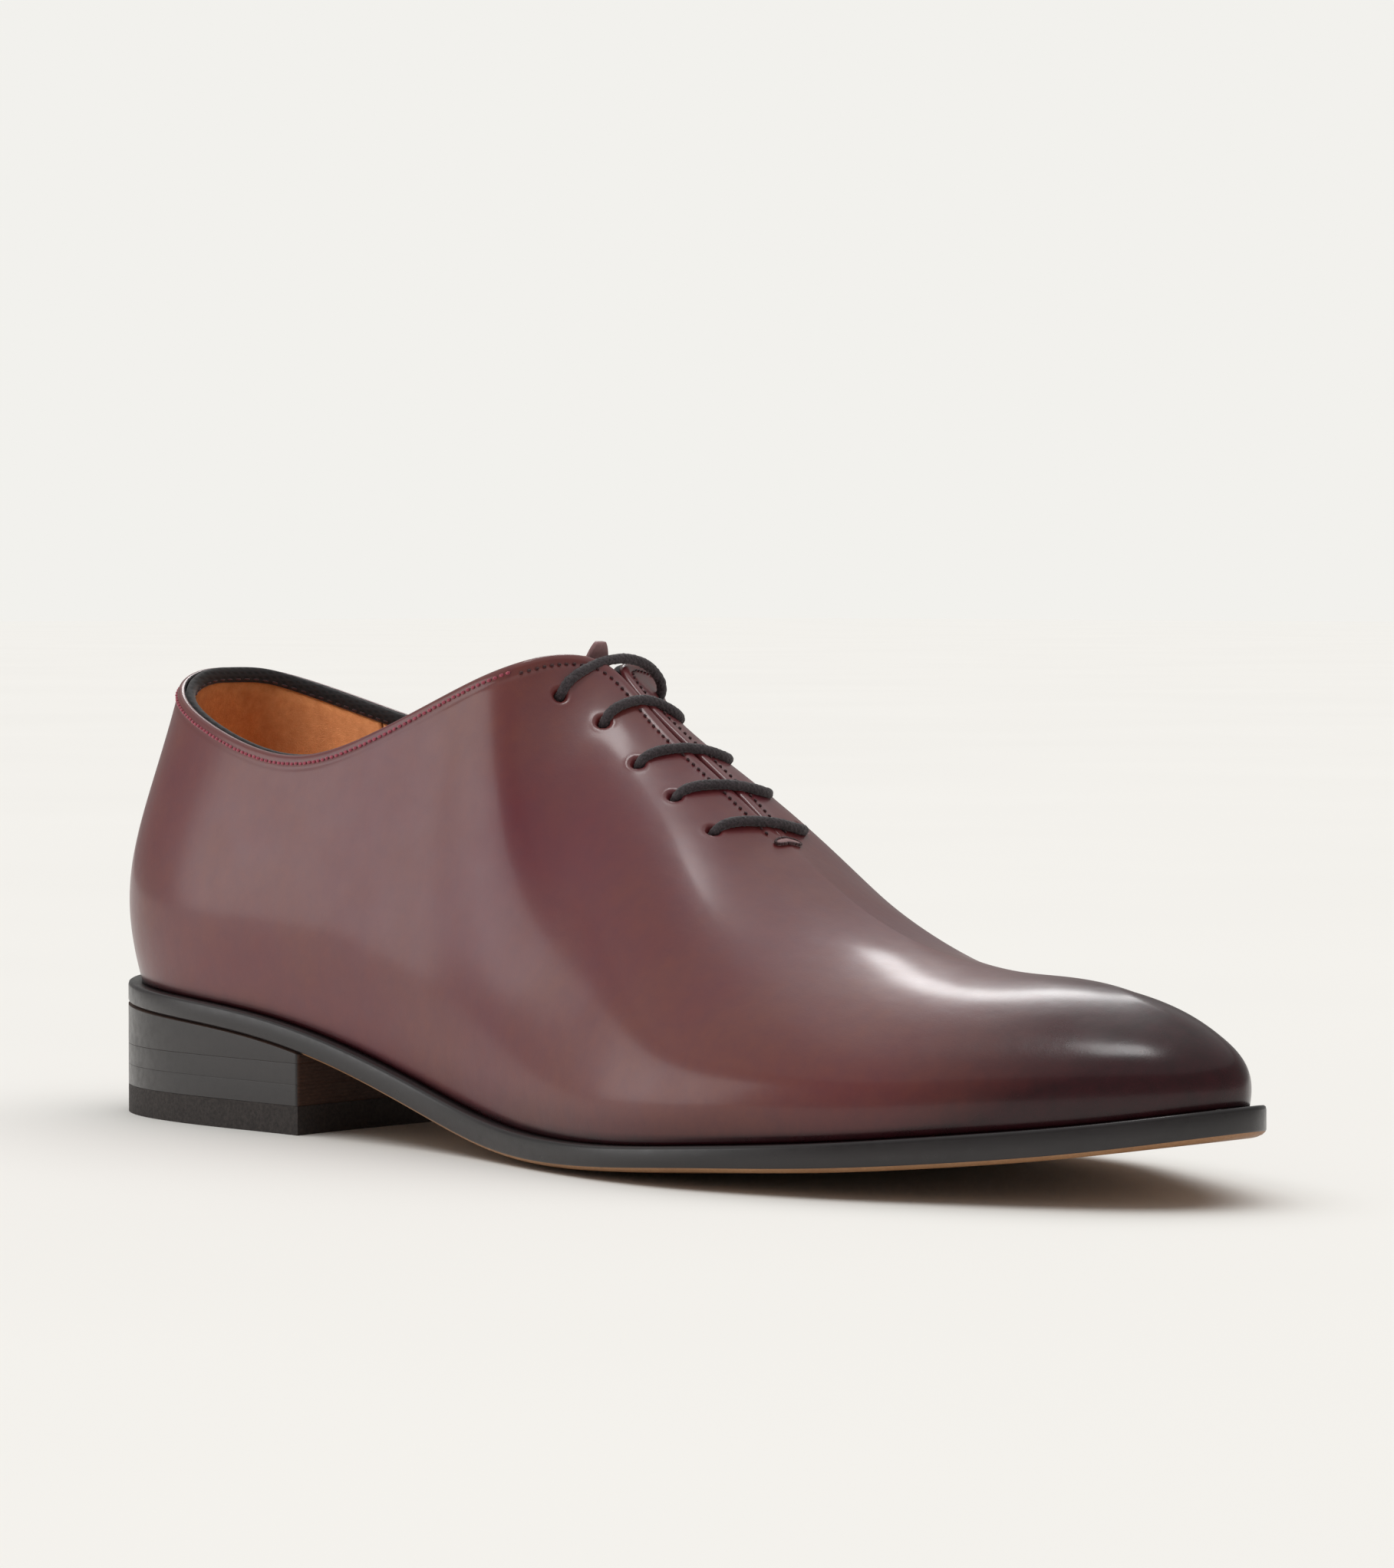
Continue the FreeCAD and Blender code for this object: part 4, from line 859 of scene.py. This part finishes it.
def lining_section(side, us):
    """Closed sections of a lining sheet: up its hidden face, over, and down its shown face."""
    outer_depth, inner_depth = LINING_DEPTH
    down = TAPE_COVERS - (TAPE_COVERS - FACING_COVERS) * smooth((us - RIB_AT[THROAT_RIB]) / 0.02)
    top = below_top(side, us, down)
    vs = LINING_FOOT + (top - LINING_FOOT)[:, None] * np.linspace(0, 1, LINING_ROWS)
    hidden = skin(side, us[:, None], vs, outer_depth)
    shown = skin(side, us[:, None], vs[:, ::-1], inner_depth)
    middle = (hidden[:, -1:] + shown[:, :1]) / 2
    rise = unit(hidden[:, -1:] - hidden[:, -2:-1])
    return np.concatenate([hidden, middle + rise * 0.25, shown], axis=1)


def make_linings():
    seam = RIB_AT[HEEL_SEAM_RIB]
    heel = np.linspace(0, seam - SEAM_GAP, 40)
    halves = [lining_section(side, heel) for side in BOTH]
    round_heel = np.concatenate([halves[0][::-1], halves[1][1:]])
    piece("heel_lining_suede", *loft(round_heel), ("lining_suede",), "lining_suede",
          hides=("heel_lining",))
    quarter = np.linspace(seam + SEAM_GAP, SLIT_END - SEAM_GAP, 130)
    for side, name in ((OUTER, "lateral"), (INNER, "medial")):
        piece("quarter_lining_leather_" + name, *loft(lining_section(side, quarter)),
              ("lining_suede",), "lining_leather", hides=("quarter_lining_" + name,))


def make_lining_stitches():
    """Two rows on either side of the seam between the heel lining and the quarter linings."""
    rows = []
    vs = np.linspace(0.2, 0.93, 300)
    for side in BOTH:
        for shift in (-0.006, 0.006):
            us = np.full_like(vs, RIB_AT[HEEL_SEAM_RIB] + shift)
            inwards = -outward(side, us, vs)
            line = skin(side, us, vs, LINING_DEPTH[1])
            rows.append(stitch_row(line, inwards, *LINING_THREAD))
    piece("lining_seam_stitches", *joined(rows), ("tan_thread",), "thread")


# The tape's section: (depth under the outer face, distance below the top edge).
BINDING_SECTION = ((1.62, 5.2), (1.60, 3.5), (1.60, 1.8), (1.62, 0.6), (1.72, 0.0), (2.0, -0.35),
                   (2.45, -0.5), (2.9, -0.4), (3.3, -0.05), (3.6, 0.6), (3.75, 1.4), (3.8, 2.2),
                   (3.7, 2.6), (2.4, 2.7), (2.3, 4.0))
TAPE_STITCH = 1.9
TAPE_FACE = 3.78


def make_binding():
    """Folded tape round the inside of the topline, from facing to facing."""
    us = np.linspace(0.0, RIB_AT[THROAT_RIB] - 0.002, 220)
    halves = [np.stack([shelf(side, us, down, depth) for depth, down in BINDING_SECTION], axis=1)
              for side in BOTH]
    ring = np.concatenate([halves[0][::-1], halves[1][1:]])
    piece("topline_tape", *loft(ring), ("binding_tape",), "binding_tape",
          hides=("topline_binding",))
    rows = []
    for side in BOTH:
        inwards = -outward(side, us, below_top(side, us, TAPE_STITCH))
        rows.append(stitch_row(shelf(side, us, TAPE_STITCH, TAPE_FACE), inwards, *TAPE_THREAD))
    piece("tape_stitches", *joined(rows), ("dark_thread",), "thread")


# ---------------------------------------------------------------- tongue
# Middle line of the tongue's outer face from its seam under the vamp up to the tip: (x, z).
TONGUE_LINE = ((185.4, 52.4), (173, 59.4), (158, 68.4), (144, 77.6), (134.4, 84.4), (129.8, 90.5),
               (128.4, 96), (129.6, 101.8))
# Half width along the same line.
TONGUE_WIDTH = (9, 12, 13, 12.4, 11.2, 8, 3.8, 2.8)


TONGUE_LINING = (TONGUE_THICKNESS + 0.12, TONGUE_THICKNESS + 0.85)


def tongue_sections(shares, reach_out, depths):
    """Closed sections across the tongue, with round edges, at shares of its length."""
    run = run_along(TONGUE_LINE)
    line = spline(run / run[-1], TONGUE_LINE)
    width = spline(run / run[-1], [(w,) for w in TONGUE_WIDTH])
    centre = line(shares)
    slope = unit(line(np.minimum(shares + TINY, 1)) - line(np.maximum(shares - TINY, 0)))
    half = width(shares)[:, 0] * reach_out
    top, bottom = depths
    middle = (top + bottom) / 2
    across = np.linspace(-1, 1, 33)
    around = [(w, top) for w in across] + [(1, middle)] + [(w, bottom) for w in across[::-1]]
    around += [(-1, middle)]
    sections = []
    for w, depth in around:
        bulge = (bottom - top) / 2 if depth == middle else 0.0
        angle = (w * (half + bulge)) / TONGUE_ARCH
        radius = TONGUE_ARCH - depth
        drop = depth + radius * (1 - np.cos(angle))
        sections.append(np.stack([centre[:, 0] - slope[:, 1] * drop, radius * np.sin(angle),
                                  centre[:, 1] + slope[:, 0] * drop], axis=1))
    return np.stack(sections, axis=1)


def make_tongue():
    round_from = 0.93
    shares = np.concatenate([np.linspace(0, round_from, 60), np.linspace(0.94, 1, 14)])
    tip = np.sqrt(np.clip(1 - ((shares - round_from) / 0.075).clip(0, 1) ** 2, 0.1, 1))
    piece("tongue_outer", *loft(tongue_sections(shares, tip, (0.0, TONGUE_THICKNESS))),
          ("tongue_leather",), "upper_leather", body="tongue", hides=("tongue",))
    piece("tongue_inner", *loft(tongue_sections(np.linspace(0.02, 0.96, 70), 0.95, TONGUE_LINING)),
          ("lining_suede",), "lining_leather", body="tongue", hides=("tongue_lining",))


# ---------------------------------------------------------------- lace
LACE_LIFT = 1.2
LACE_SLANT = 0.04
BAR_LEAN = 0.014
LACE_DEPTH = 4.8
BAR_HEIGHT = 1.1
TOP_BAR_HEIGHT = 0.9
# The slack loop of the top bar beside its inner hole: (depth, up the ribs, ahead).
TOP_LOOP = ((-2.7, 0.085, 0.008), (-2.4, 0.03, 0.0))
LACE_STEP = 0.28
LACE_AROUND = 24
BRAID_PITCH = 2.4
BRAID_DEPTH = 0.22
HOLE_DEPTH = 0.6
# The tucked ends from their last hole on: (u, v, extra depth).
OUTER_END = ((0.531, 0.76, 0.6), (0.513, 0.66, 0.6), (0.485, 0.57, 0.7), (0.452, 0.49, 1.2),
             (0.418, 0.43, 1.2))
INNER_END = ((0.487, 0.79, 0.6), (0.468, 0.69, 0.6), (0.442, 0.60, 0.7), (0.410, 0.52, 1.2),
             (0.380, 0.45, 1.2))
# Bars below the top one: side it starts on, hole pair, side it ends on, holes passed after it.
BARS = ((OUTER, 1, INNER, ((2, 0.034),)), (INNER, 3, OUTER, ()), (OUTER, 4, INNER, ((3, -0.036),)),
        (INNER, 2, OUTER, ()))


def hole_at(side, number, depth, aside=0.0, ahead=0.0):
    """A point over or under a lace hole, moved up the ribs or ahead to the toe."""
    u, v = LACE_HOLES[number]
    return skin(side, u + ahead, v + aside, depth)


def over_slit(number, height):
    """The middle of a lace bar, above the slit."""
    u = LACE_HOLES[number][0] + BAR_LEAN
    return (wall(OUTER, u, 1) + wall(INNER, u, 1)) / 2 + outward(OUTER, u, 0.97) * height


def lace_route():
    """The lace's control points, from one tucked end to the other."""
    route = [skin(OUTER, u, v, LACE_DEPTH + tuck) for u, v, tuck in OUTER_END[::-1]]
    leans = {OUTER: 0.3 * BAR_LEAN, INNER: 0.9 * BAR_LEAN}
    for start, number, end, turn in BARS:
        route += [hole_at(start, number, LACE_DEPTH), hole_at(start, number, HOLE_DEPTH)]
        route += [hole_at(start, number, -LACE_LIFT, LACE_SLANT, leans[start])]
        route += [over_slit(number, BAR_HEIGHT)]
        route += [hole_at(end, number, -LACE_LIFT, LACE_SLANT, leans[end])]
        route += [hole_at(end, number, HOLE_DEPTH), hole_at(end, number, LACE_DEPTH)]
        route += [hole_at(end, passed, LACE_DEPTH, aside) for passed, aside in turn]
    route += [hole_at(OUTER, 1, LACE_DEPTH, 0.032), hole_at(OUTER, 0, LACE_DEPTH)]
    route += [hole_at(OUTER, 0, HOLE_DEPTH), hole_at(OUTER, 0, -0.9, LACE_SLANT, 0.004)]
    route += [over_slit(0, TOP_BAR_HEIGHT)] + [hole_at(INNER, 0, *place) for place in TOP_LOOP]
    route += [hole_at(INNER, 0, HOLE_DEPTH), hole_at(INNER, 0, LACE_DEPTH)]
    return to_frame(route + [skin(INNER, u, v, LACE_DEPTH + tuck) for u, v, tuck in INNER_END])


def smooth_line(points):
    """Points along the smooth curve that has these control points."""
    curve = bpy.data.curves.new("route", "CURVE")
    curve.dimensions = "3D"
    curve.resolution_u = 64
    path = curve.splines.new("NURBS")
    path.points.add(len(points) - 1)
    for spot, place in zip(path.points, points):
        spot.co = (*place, 1)
    path.order_u = 3
    path.use_endpoint_u = True
    holder = bpy.data.objects.new("route", curve)
    link(holder)
    bpy.context.view_layer.update()
    mesh = bpy.data.meshes.new_from_object(holder)
    line = np.array([tuple(v.co) for v in mesh.vertices])
    bpy.data.objects.remove(holder)
    bpy.data.meshes.remove(mesh)
    return line * 1000 + (MIDDLE_FORWARD, MIDDLE_ACROSS, 0)


def evenly(line, gap):
    run = run_along(line)
    stops = np.linspace(0, run[-1], int(run[-1] / gap) + 1)
    return np.stack([np.interp(stops, run, line[:, k]) for k in range(3)], axis=1), stops


def make_lace():
    """Braided round cord along the route, a little uneven."""
    line, stops = evenly(smooth_line(lace_route()), LACE_STEP)
    angles = 3 * np.linspace(0, 2 * math.pi, LACE_AROUND, endpoint=False)
    twist = stops[:, None] * (2 * math.pi / BRAID_PITCH)
    braid = np.maximum(np.abs(np.sin(angles + twist)), np.abs(np.sin(angles - twist)))
    uneven = 0.03 * np.sin(stops * 1.9) * np.sin(stops * 0.83 + 1) + 0.02 * np.sin(stops * 4.7)
    radius = LACE_RADIUS * (1 - BRAID_DEPTH + uneven[:, None] + BRAID_DEPTH * braid)
    radius = radius + chance.normal(0, 0.03, radius.shape)
    radius[0] *= 0.4
    radius[-1] *= 0.4
    piece("lace_braid", *tube(line, radius[..., None], LACE_AROUND), ("lace_cord",), "lace_cord",
          hides=("lace",))


def across_ridge(u, aside, lift):
    """A point beside the slit's lower end: aside from the middle, lift over the leather."""
    side = INNER if aside > 0 else OUTER
    v = below_top(side, u, abs(aside))
    return wall(side, u, v) + outward(side, u, v) * lift


# Section of the tack's tab, from its heel end to its toe end: (share of half width, lift).
TAB_SECTION = ((-1, -0.2), (-1, 0.3), (-0.7, 0.5), (0, 0.58), (0.7, 0.5), (1, 0.3), (1, -0.2))
TAB_HALF_LENGTH = 3.3
TAB_HALF_WIDTH = 0.8


def make_bar_tack():
    """A short leather tab across the slit's lower end, sewn down all round."""
    middle = SLIT_END + 0.0015
    per_u = 1 / np.linalg.norm(wall(OUTER, middle + TINY, 1.0) - wall(OUTER, middle, 1.0)) * TINY
    pad = []
    for k in np.linspace(-1, 1, 25):
        reach_out = TAB_HALF_WIDTH * (1 - abs(k) ** 6) ** 0.5 + 0.05
        pad.append([across_ridge(middle + per_u * reach_out * w, k * TAB_HALF_LENGTH, lift)
                    for w, lift in TAB_SECTION])
    # The tab uses the tongue's pale leather, whose colour holds a painted sheen.
    piece("tack_tab", *loft(np.array(pad)), ("tongue_leather",), "thread", hides=("bar_tack",))
    turns = np.linspace(0, 2 * math.pi, 23)
    threads = []
    for start, end in zip(turns, turns[1:]):
        spots = []
        for t in np.linspace(start, start + 0.78 * (end - start), 5):
            aside = math.copysign(abs(math.cos(t)) ** 0.6, math.cos(t))
            spots.append(across_ridge(middle + per_u * 1.1 * TAB_HALF_WIDTH * math.sin(t),
                                      1.06 * TAB_HALF_LENGTH * aside, 0.42))
        threads.append(tube(spots, TACK_THREAD))
    piece("tack_threads", *joined(threads), ("dark_thread",), "thread")


# ---------------------------------------------------------------- sole and heel
def plan_line(side, us, inset):
    """The feather line in plan, moved inwards by inset."""
    plan = HALVES[side][0]
    flat = plan(us)
    along = unit(plan(np.minimum(us + TINY, 1)) - plan(np.maximum(us - TINY, 0)))
    along[us < TINY] = (0, side)
    along[us > 1 - TINY] = (0, -side)
    out = np.stack([-side * along[:, 1], side * along[:, 0]], axis=1)
    return flat - out * np.asarray(inset, float).reshape(-1, 1)


def sole_bottom(x, y):
    belly = SOLE_CAMBER * camber_share(x) * (1 - np.abs(y / 50) ** 4)
    return feather_height(x) - SOLE_THICKNESS - belly


# The sole's rounded edge: inset from its widest line and share of the way down.
SOLE_EDGE_ROUND = ((2.4, 0.0), (0.5, 0.0), (0.15, 0.05), (0.0, 0.16), (0.0, 0.5), (0.0, 0.8),
                   (0.12, 0.86), (0.7, 0.95), (1.6, 1.0))
INKED_ROWS = 6
UNDER_POINTS = 39
SOLE_GAP = 0.06


def sole_sections(us):
    """Closed sections across the sole from the outer side to the inner at matching stations."""
    rims = {}
    for side in BOTH:
        rows = []
        for inset, down in SOLE_EDGE_ROUND:
            spot = plan_line(side, us, inset - SOLE_EDGE)
            top = feather_height(spot[:, 0]) - SOLE_GAP
            bottom = sole_bottom(spot[:, 0], spot[:, 1])
            rows.append(np.column_stack([spot, top + (bottom - top) * down]))
        rims[side] = np.stack(rows, axis=1)
    shares = np.linspace(0, 1, UNDER_POINTS + 2)[None, 1:-1, None]
    under = rims[OUTER][:, -1:] * (1 - shares) + rims[INNER][:, -1:] * shares
    under[..., 2] = sole_bottom(under[..., 0], under[..., 1])
    over = rims[INNER][:, :1] * (1 - shares) + rims[OUTER][:, :1] * shares
    over[..., 2] = feather_height(over[..., 0]) - SOLE_GAP
    return np.concatenate([rims[OUTER], under, rims[INNER][:, ::-1], over], axis=1)


def make_sole():
    """Leather sole with inked edge and natural underside."""
    turns = (1 - np.cos(np.linspace(0, math.pi, 260))) / 2
    us = 0.25 * turns + 0.75 * np.linspace(0, 1, 260)
    sections = sole_sections(us)
    points, faces = loft(sections)
    edge, around = len(SOLE_EDGE_ROUND), sections.shape[1]
    columns = np.tile(np.arange(around), len(us) - 1)
    under = (columns >= INKED_ROWS) & (columns < 2 * edge + UNDER_POINTS - INKED_ROWS - 1)
    over_heel = np.repeat(plan_line(OUTER, us, 0)[:-1, 0] < HEEL_BREAST, around)
    lip = (columns < edge) | (columns >= edge + UNDER_POINTS - 1)
    finish = np.where(under & ~(over_heel & lip), 1, 0)
    finish = np.concatenate([finish, [0, 0]])
    piece("leather_sole", points, faces, ("sole_edge_ink", "sole_leather"),
          "sole_leather", hides=("outsole",), finish=finish)


def heel_line():
    """Closed outline of the heel: round the back, then the slightly hollow breast."""
    runs = []
    for side in BOTH:
        us = np.linspace(0, 0.4, 1600)
        spots = plan_line(side, us, -SOLE_EDGE)
        spots = spots[spots[:, 0] < HEEL_BREAST]
        spots, stops = evenly(np.column_stack([spots, 0 * spots[:, 0]]), 0.9)
        runs.append(spots[:, :2])
    start, end = runs[1][-1], runs[0][-1]
    turns = np.linspace(0, 1, 60)[1:-1, None]
    breast = start * (1 - turns) + end * turns
    breast[:, 0] -= BREAST_HOLLOW * 4 * (turns * (1 - turns))[:, 0]
    return np.concatenate([runs[0][::-1], runs[1][1:], breast]), len(breast)


# A lift's edge from bottom to top: (inset, share of its height); then the rings of its lids.
LIFT_EDGE = ((0.0135, 0.0), (0.0045, 0.01), (0.0, 0.03), (0.0, 0.5), (0.0, 0.97), (0.0045, 0.99),
             (0.0135, 1.0))
LID_RINGS = (0.75, 0.5, 0.25, 0.02)
HEEL_MIDDLE = (35.0, 0.0)


def make_lift(number, low, high):
    """A slab of the heel, painted round its side; low and high are heights as functions."""
    full, breast = heel_line()
    away = full - np.array(HEEL_MIDDLE)
    rings = []
    for inset, share in LIFT_EDGE:
        ring = HEEL_MIDDLE + away * (1 - inset / np.linalg.norm(away, axis=1))[:, None]
        bottom = low(*ring.T)
        rings.append(np.column_stack([ring, bottom + (high(*ring.T) - bottom) * share]))
    for share in LID_RINGS:
        ring = HEEL_MIDDLE + away * share
        rings.append(np.column_stack([ring, high(*ring.T)]))
        rings.insert(0, np.column_stack([ring, low(*ring.T)]))
    across = np.tile(np.arange(len(full)), len(rings) - 1)
    row = np.repeat(np.arange(len(rings) - 1), len(full))
    lid = len(LID_RINGS)
    on_side = (row >= lid) & (row < lid + len(LIFT_EDGE) - 1) & (across < len(full) - breast - 1)
    finish = np.concatenate([np.where(on_side, 0, 1), [1, 1]])
    piece("heel_layer_%d" % number, *loft(np.stack(rings)),
          ("heel_edge_ink", "stacked_leather"), "stacked_leather",
          hides=("heel_lift_%d" % number,), finish=finish)


def level(height):
    return lambda x, y: np.full_like(x, height)


def make_heel():
    """Three leather lifts over the rubber top piece."""
    gap, thin_gap = 0.05, 0.02
    first = TOP_PIECE_HEIGHT + gap
    second = first + LIFT_HEIGHT + thin_gap
    third = second + LIFT_HEIGHT + thin_gap
    make_lift(1, level(first), level(second - thin_gap))
    make_lift(2, level(second), level(third - gap))
    make_lift(3, level(third), lambda x, y: sole_bottom(x, y) - gap)


# ---------------------------------------------------------------- CAD pieces that stay
KEPT = {
    "heel_rubber": ("heel_top_piece",), "steel": ("heel_nails", "seat_nails", "shank"),
    "stiffener_leather": ("insole_board", "heel_counter", "toe_puff"), "foam": ("heel_pad",),
    "insole_leather": ("sock_lining",), "cork": ("cork_filler",), "lining_leather": ("vamp_lining",),
    "canvas": ("vamp_doubler", "facing_stay_lateral", "facing_stay_medial"),
    "brass": ("eyelets_lateral", "eyelets_medial"), "aglet_plastic": ("aglet_lateral", "aglet_medial"),
}


def finish_kept_nodes():
    for look, names in KEPT.items():
        for name in names:
            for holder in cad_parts[name].material_slots:
                holder.material = LOOKS[look]


# ---------------------------------------------------------------- studio
ROOM_LIGHT = 0.34
FLOOR_LIGHT = 2.47
SHOE_LIGHT = 0.7
SKY_FROM = (-0.1, 0.1, 1.0)
FLOOR_REACH = 12


def make_floor():
    m = Nodes("studio_floor")
    tone = m.mottle(3, 2, 0.5)
    m.set(Base_Color=m.mix(tone, (238, 236, 232), (236, 234, 230)), Roughness=0.9)
    m.set(Specular_IOR_Level=0.2)
    mesh = bpy.data.meshes.new("floor")
    corners = [(x * FLOOR_REACH, y * FLOOR_REACH, 0) for x, y in ((-1, -1), (1, -1), (1, 1), (-1, 1))]
    mesh.from_pydata(corners, [], [(0, 1, 2, 3)])
    mesh.materials.append(m.material)
    floor = bpy.data.objects.new("floor", mesh)
    link(floor)
    return floor


def hang(light, place, turn, lit):
    """Put a light at a place, turned, for a collection of things only."""
    lamp = bpy.data.objects.new(light.name, light)
    lamp.location = place
    lamp.rotation_euler = turn.to_euler()
    lamp.light_linking.receiver_collection = lit
    link(lamp)


def soft_light(name, place, aim, size, watts, lit):
    light = bpy.data.lights.new(name, "AREA")
    light.shape = "RECTANGLE"
    light.size, light.size_y = size
    light.energy = watts
    hang(light, place, (Vector(aim) - Vector(place)).to_track_quat("-Z", "Y"), lit)


def light_group(name, state, *objects):
    """Collection for lights that light only these objects, or everything else."""
    group = bpy.data.collections.new(name)
    for obj in objects:
        group.objects.link(obj)
    for member in group.collection_objects:
        member.light_linking.link_state = state
    return group


def soft_sky(name, spread, strength, lit):
    """A large even light far away above the shoe."""
    light = bpy.data.lights.new(name, "SUN")
    light.angle = math.radians(spread)
    light.energy = strength
    hang(light, (0, 0, 0), Vector(SKY_FROM).to_track_quat("Z", "Y"), lit)


def make_studio():
    """Pale surroundings, dimmer as light than as backdrop, under one large soft light."""
    floor = make_floor()
    only_floor = light_group("only_floor", "INCLUDE", floor)
    lit = light_group("all_but_floor", "EXCLUDE", floor)
    names = ("heel_lining_suede", "quarter_lining_leather_medial", "quarter_lining_leather_lateral",
             "lining_seam_stitches")
    inside = [bpy.data.objects[name] for name in names] + [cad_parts["sock_lining"]]
    world = bpy.data.worlds.new("studio")
    world.use_nodes = True
    nodes, links = world.node_tree.nodes, world.node_tree.links
    backdrop = nodes["Background"]
    backdrop.inputs["Color"].default_value = linear(242, 241, 237)
    ray = nodes.new("ShaderNodeLightPath")
    level = nodes.new("ShaderNodeMapRange")
    links.new(ray.outputs["Is Camera Ray"], level.inputs["Value"])
    level.inputs["To Min"].default_value = ROOM_LIGHT
    links.new(level.outputs[0], backdrop.inputs["Strength"])
    bpy.context.scene.world = world
    soft_sky("floor_sky", 90, FLOOR_LIGHT, only_floor)
    soft_sky("shoe_sky", 110, SHOE_LIGHT, lit)
    soft_light("left_box", (-1.1, -1.25, 0.45), (0, 0, 0.05), (1.2, 0.8), 5.5, lit)
    soft_light("back_box", (-0.75, 0.75, 1.05), (0.05, 0, 0.05), (0.4, 0.22), 2.6, lit)
    soft_light("opening_box", (-0.25, -0.35, 0.8), (-0.1, 0.01, 0.06), (0.5, 0.5), 20,
               light_group("linings", "INCLUDE", *inside))
    soft_light("top_box", (0.0, -0.05, 1.2), (0.05, 0, 0.05), (0.3, 0.25), 2.2, lit)


# Camera: turned from the outer side towards the toe, just above the level of the shoe.
CAMERA_AZIMUTH = math.radians(44.75)
CAMERA_ELEVATION = math.radians(2.1)
CAMERA_DISTANCE = 1.1
CAMERA_LENS = 126.3
CAMERA_AIM = (0.0088, 0.00135, 0.0738)


def make_camera():
    camera = bpy.data.cameras.new("camera")
    camera.sensor_fit = "VERTICAL"
    camera.sensor_height = 36
    camera.lens = CAMERA_LENS
    view = bpy.data.objects.new("camera", camera)
    level = math.cos(CAMERA_ELEVATION)
    back = Vector((math.sin(CAMERA_AZIMUTH) * level, -math.cos(CAMERA_AZIMUTH) * level,
                   math.sin(CAMERA_ELEVATION)))
    view.location = Vector(CAMERA_AIM) + back * CAMERA_DISTANCE
    view.rotation_euler = (-back).to_track_quat("-Z", "Y").to_euler()
    link(view)
    bpy.context.scene.camera = view


make_camera()
make_upper()
make_outer_stitches()
make_linings()
make_lining_stitches()
make_binding()
make_tongue()
make_lace()
make_bar_tack()
make_sole()
make_heel()
finish_kept_nodes()
make_studio()
bpy.context.scene.view_settings.view_transform = "Standard"
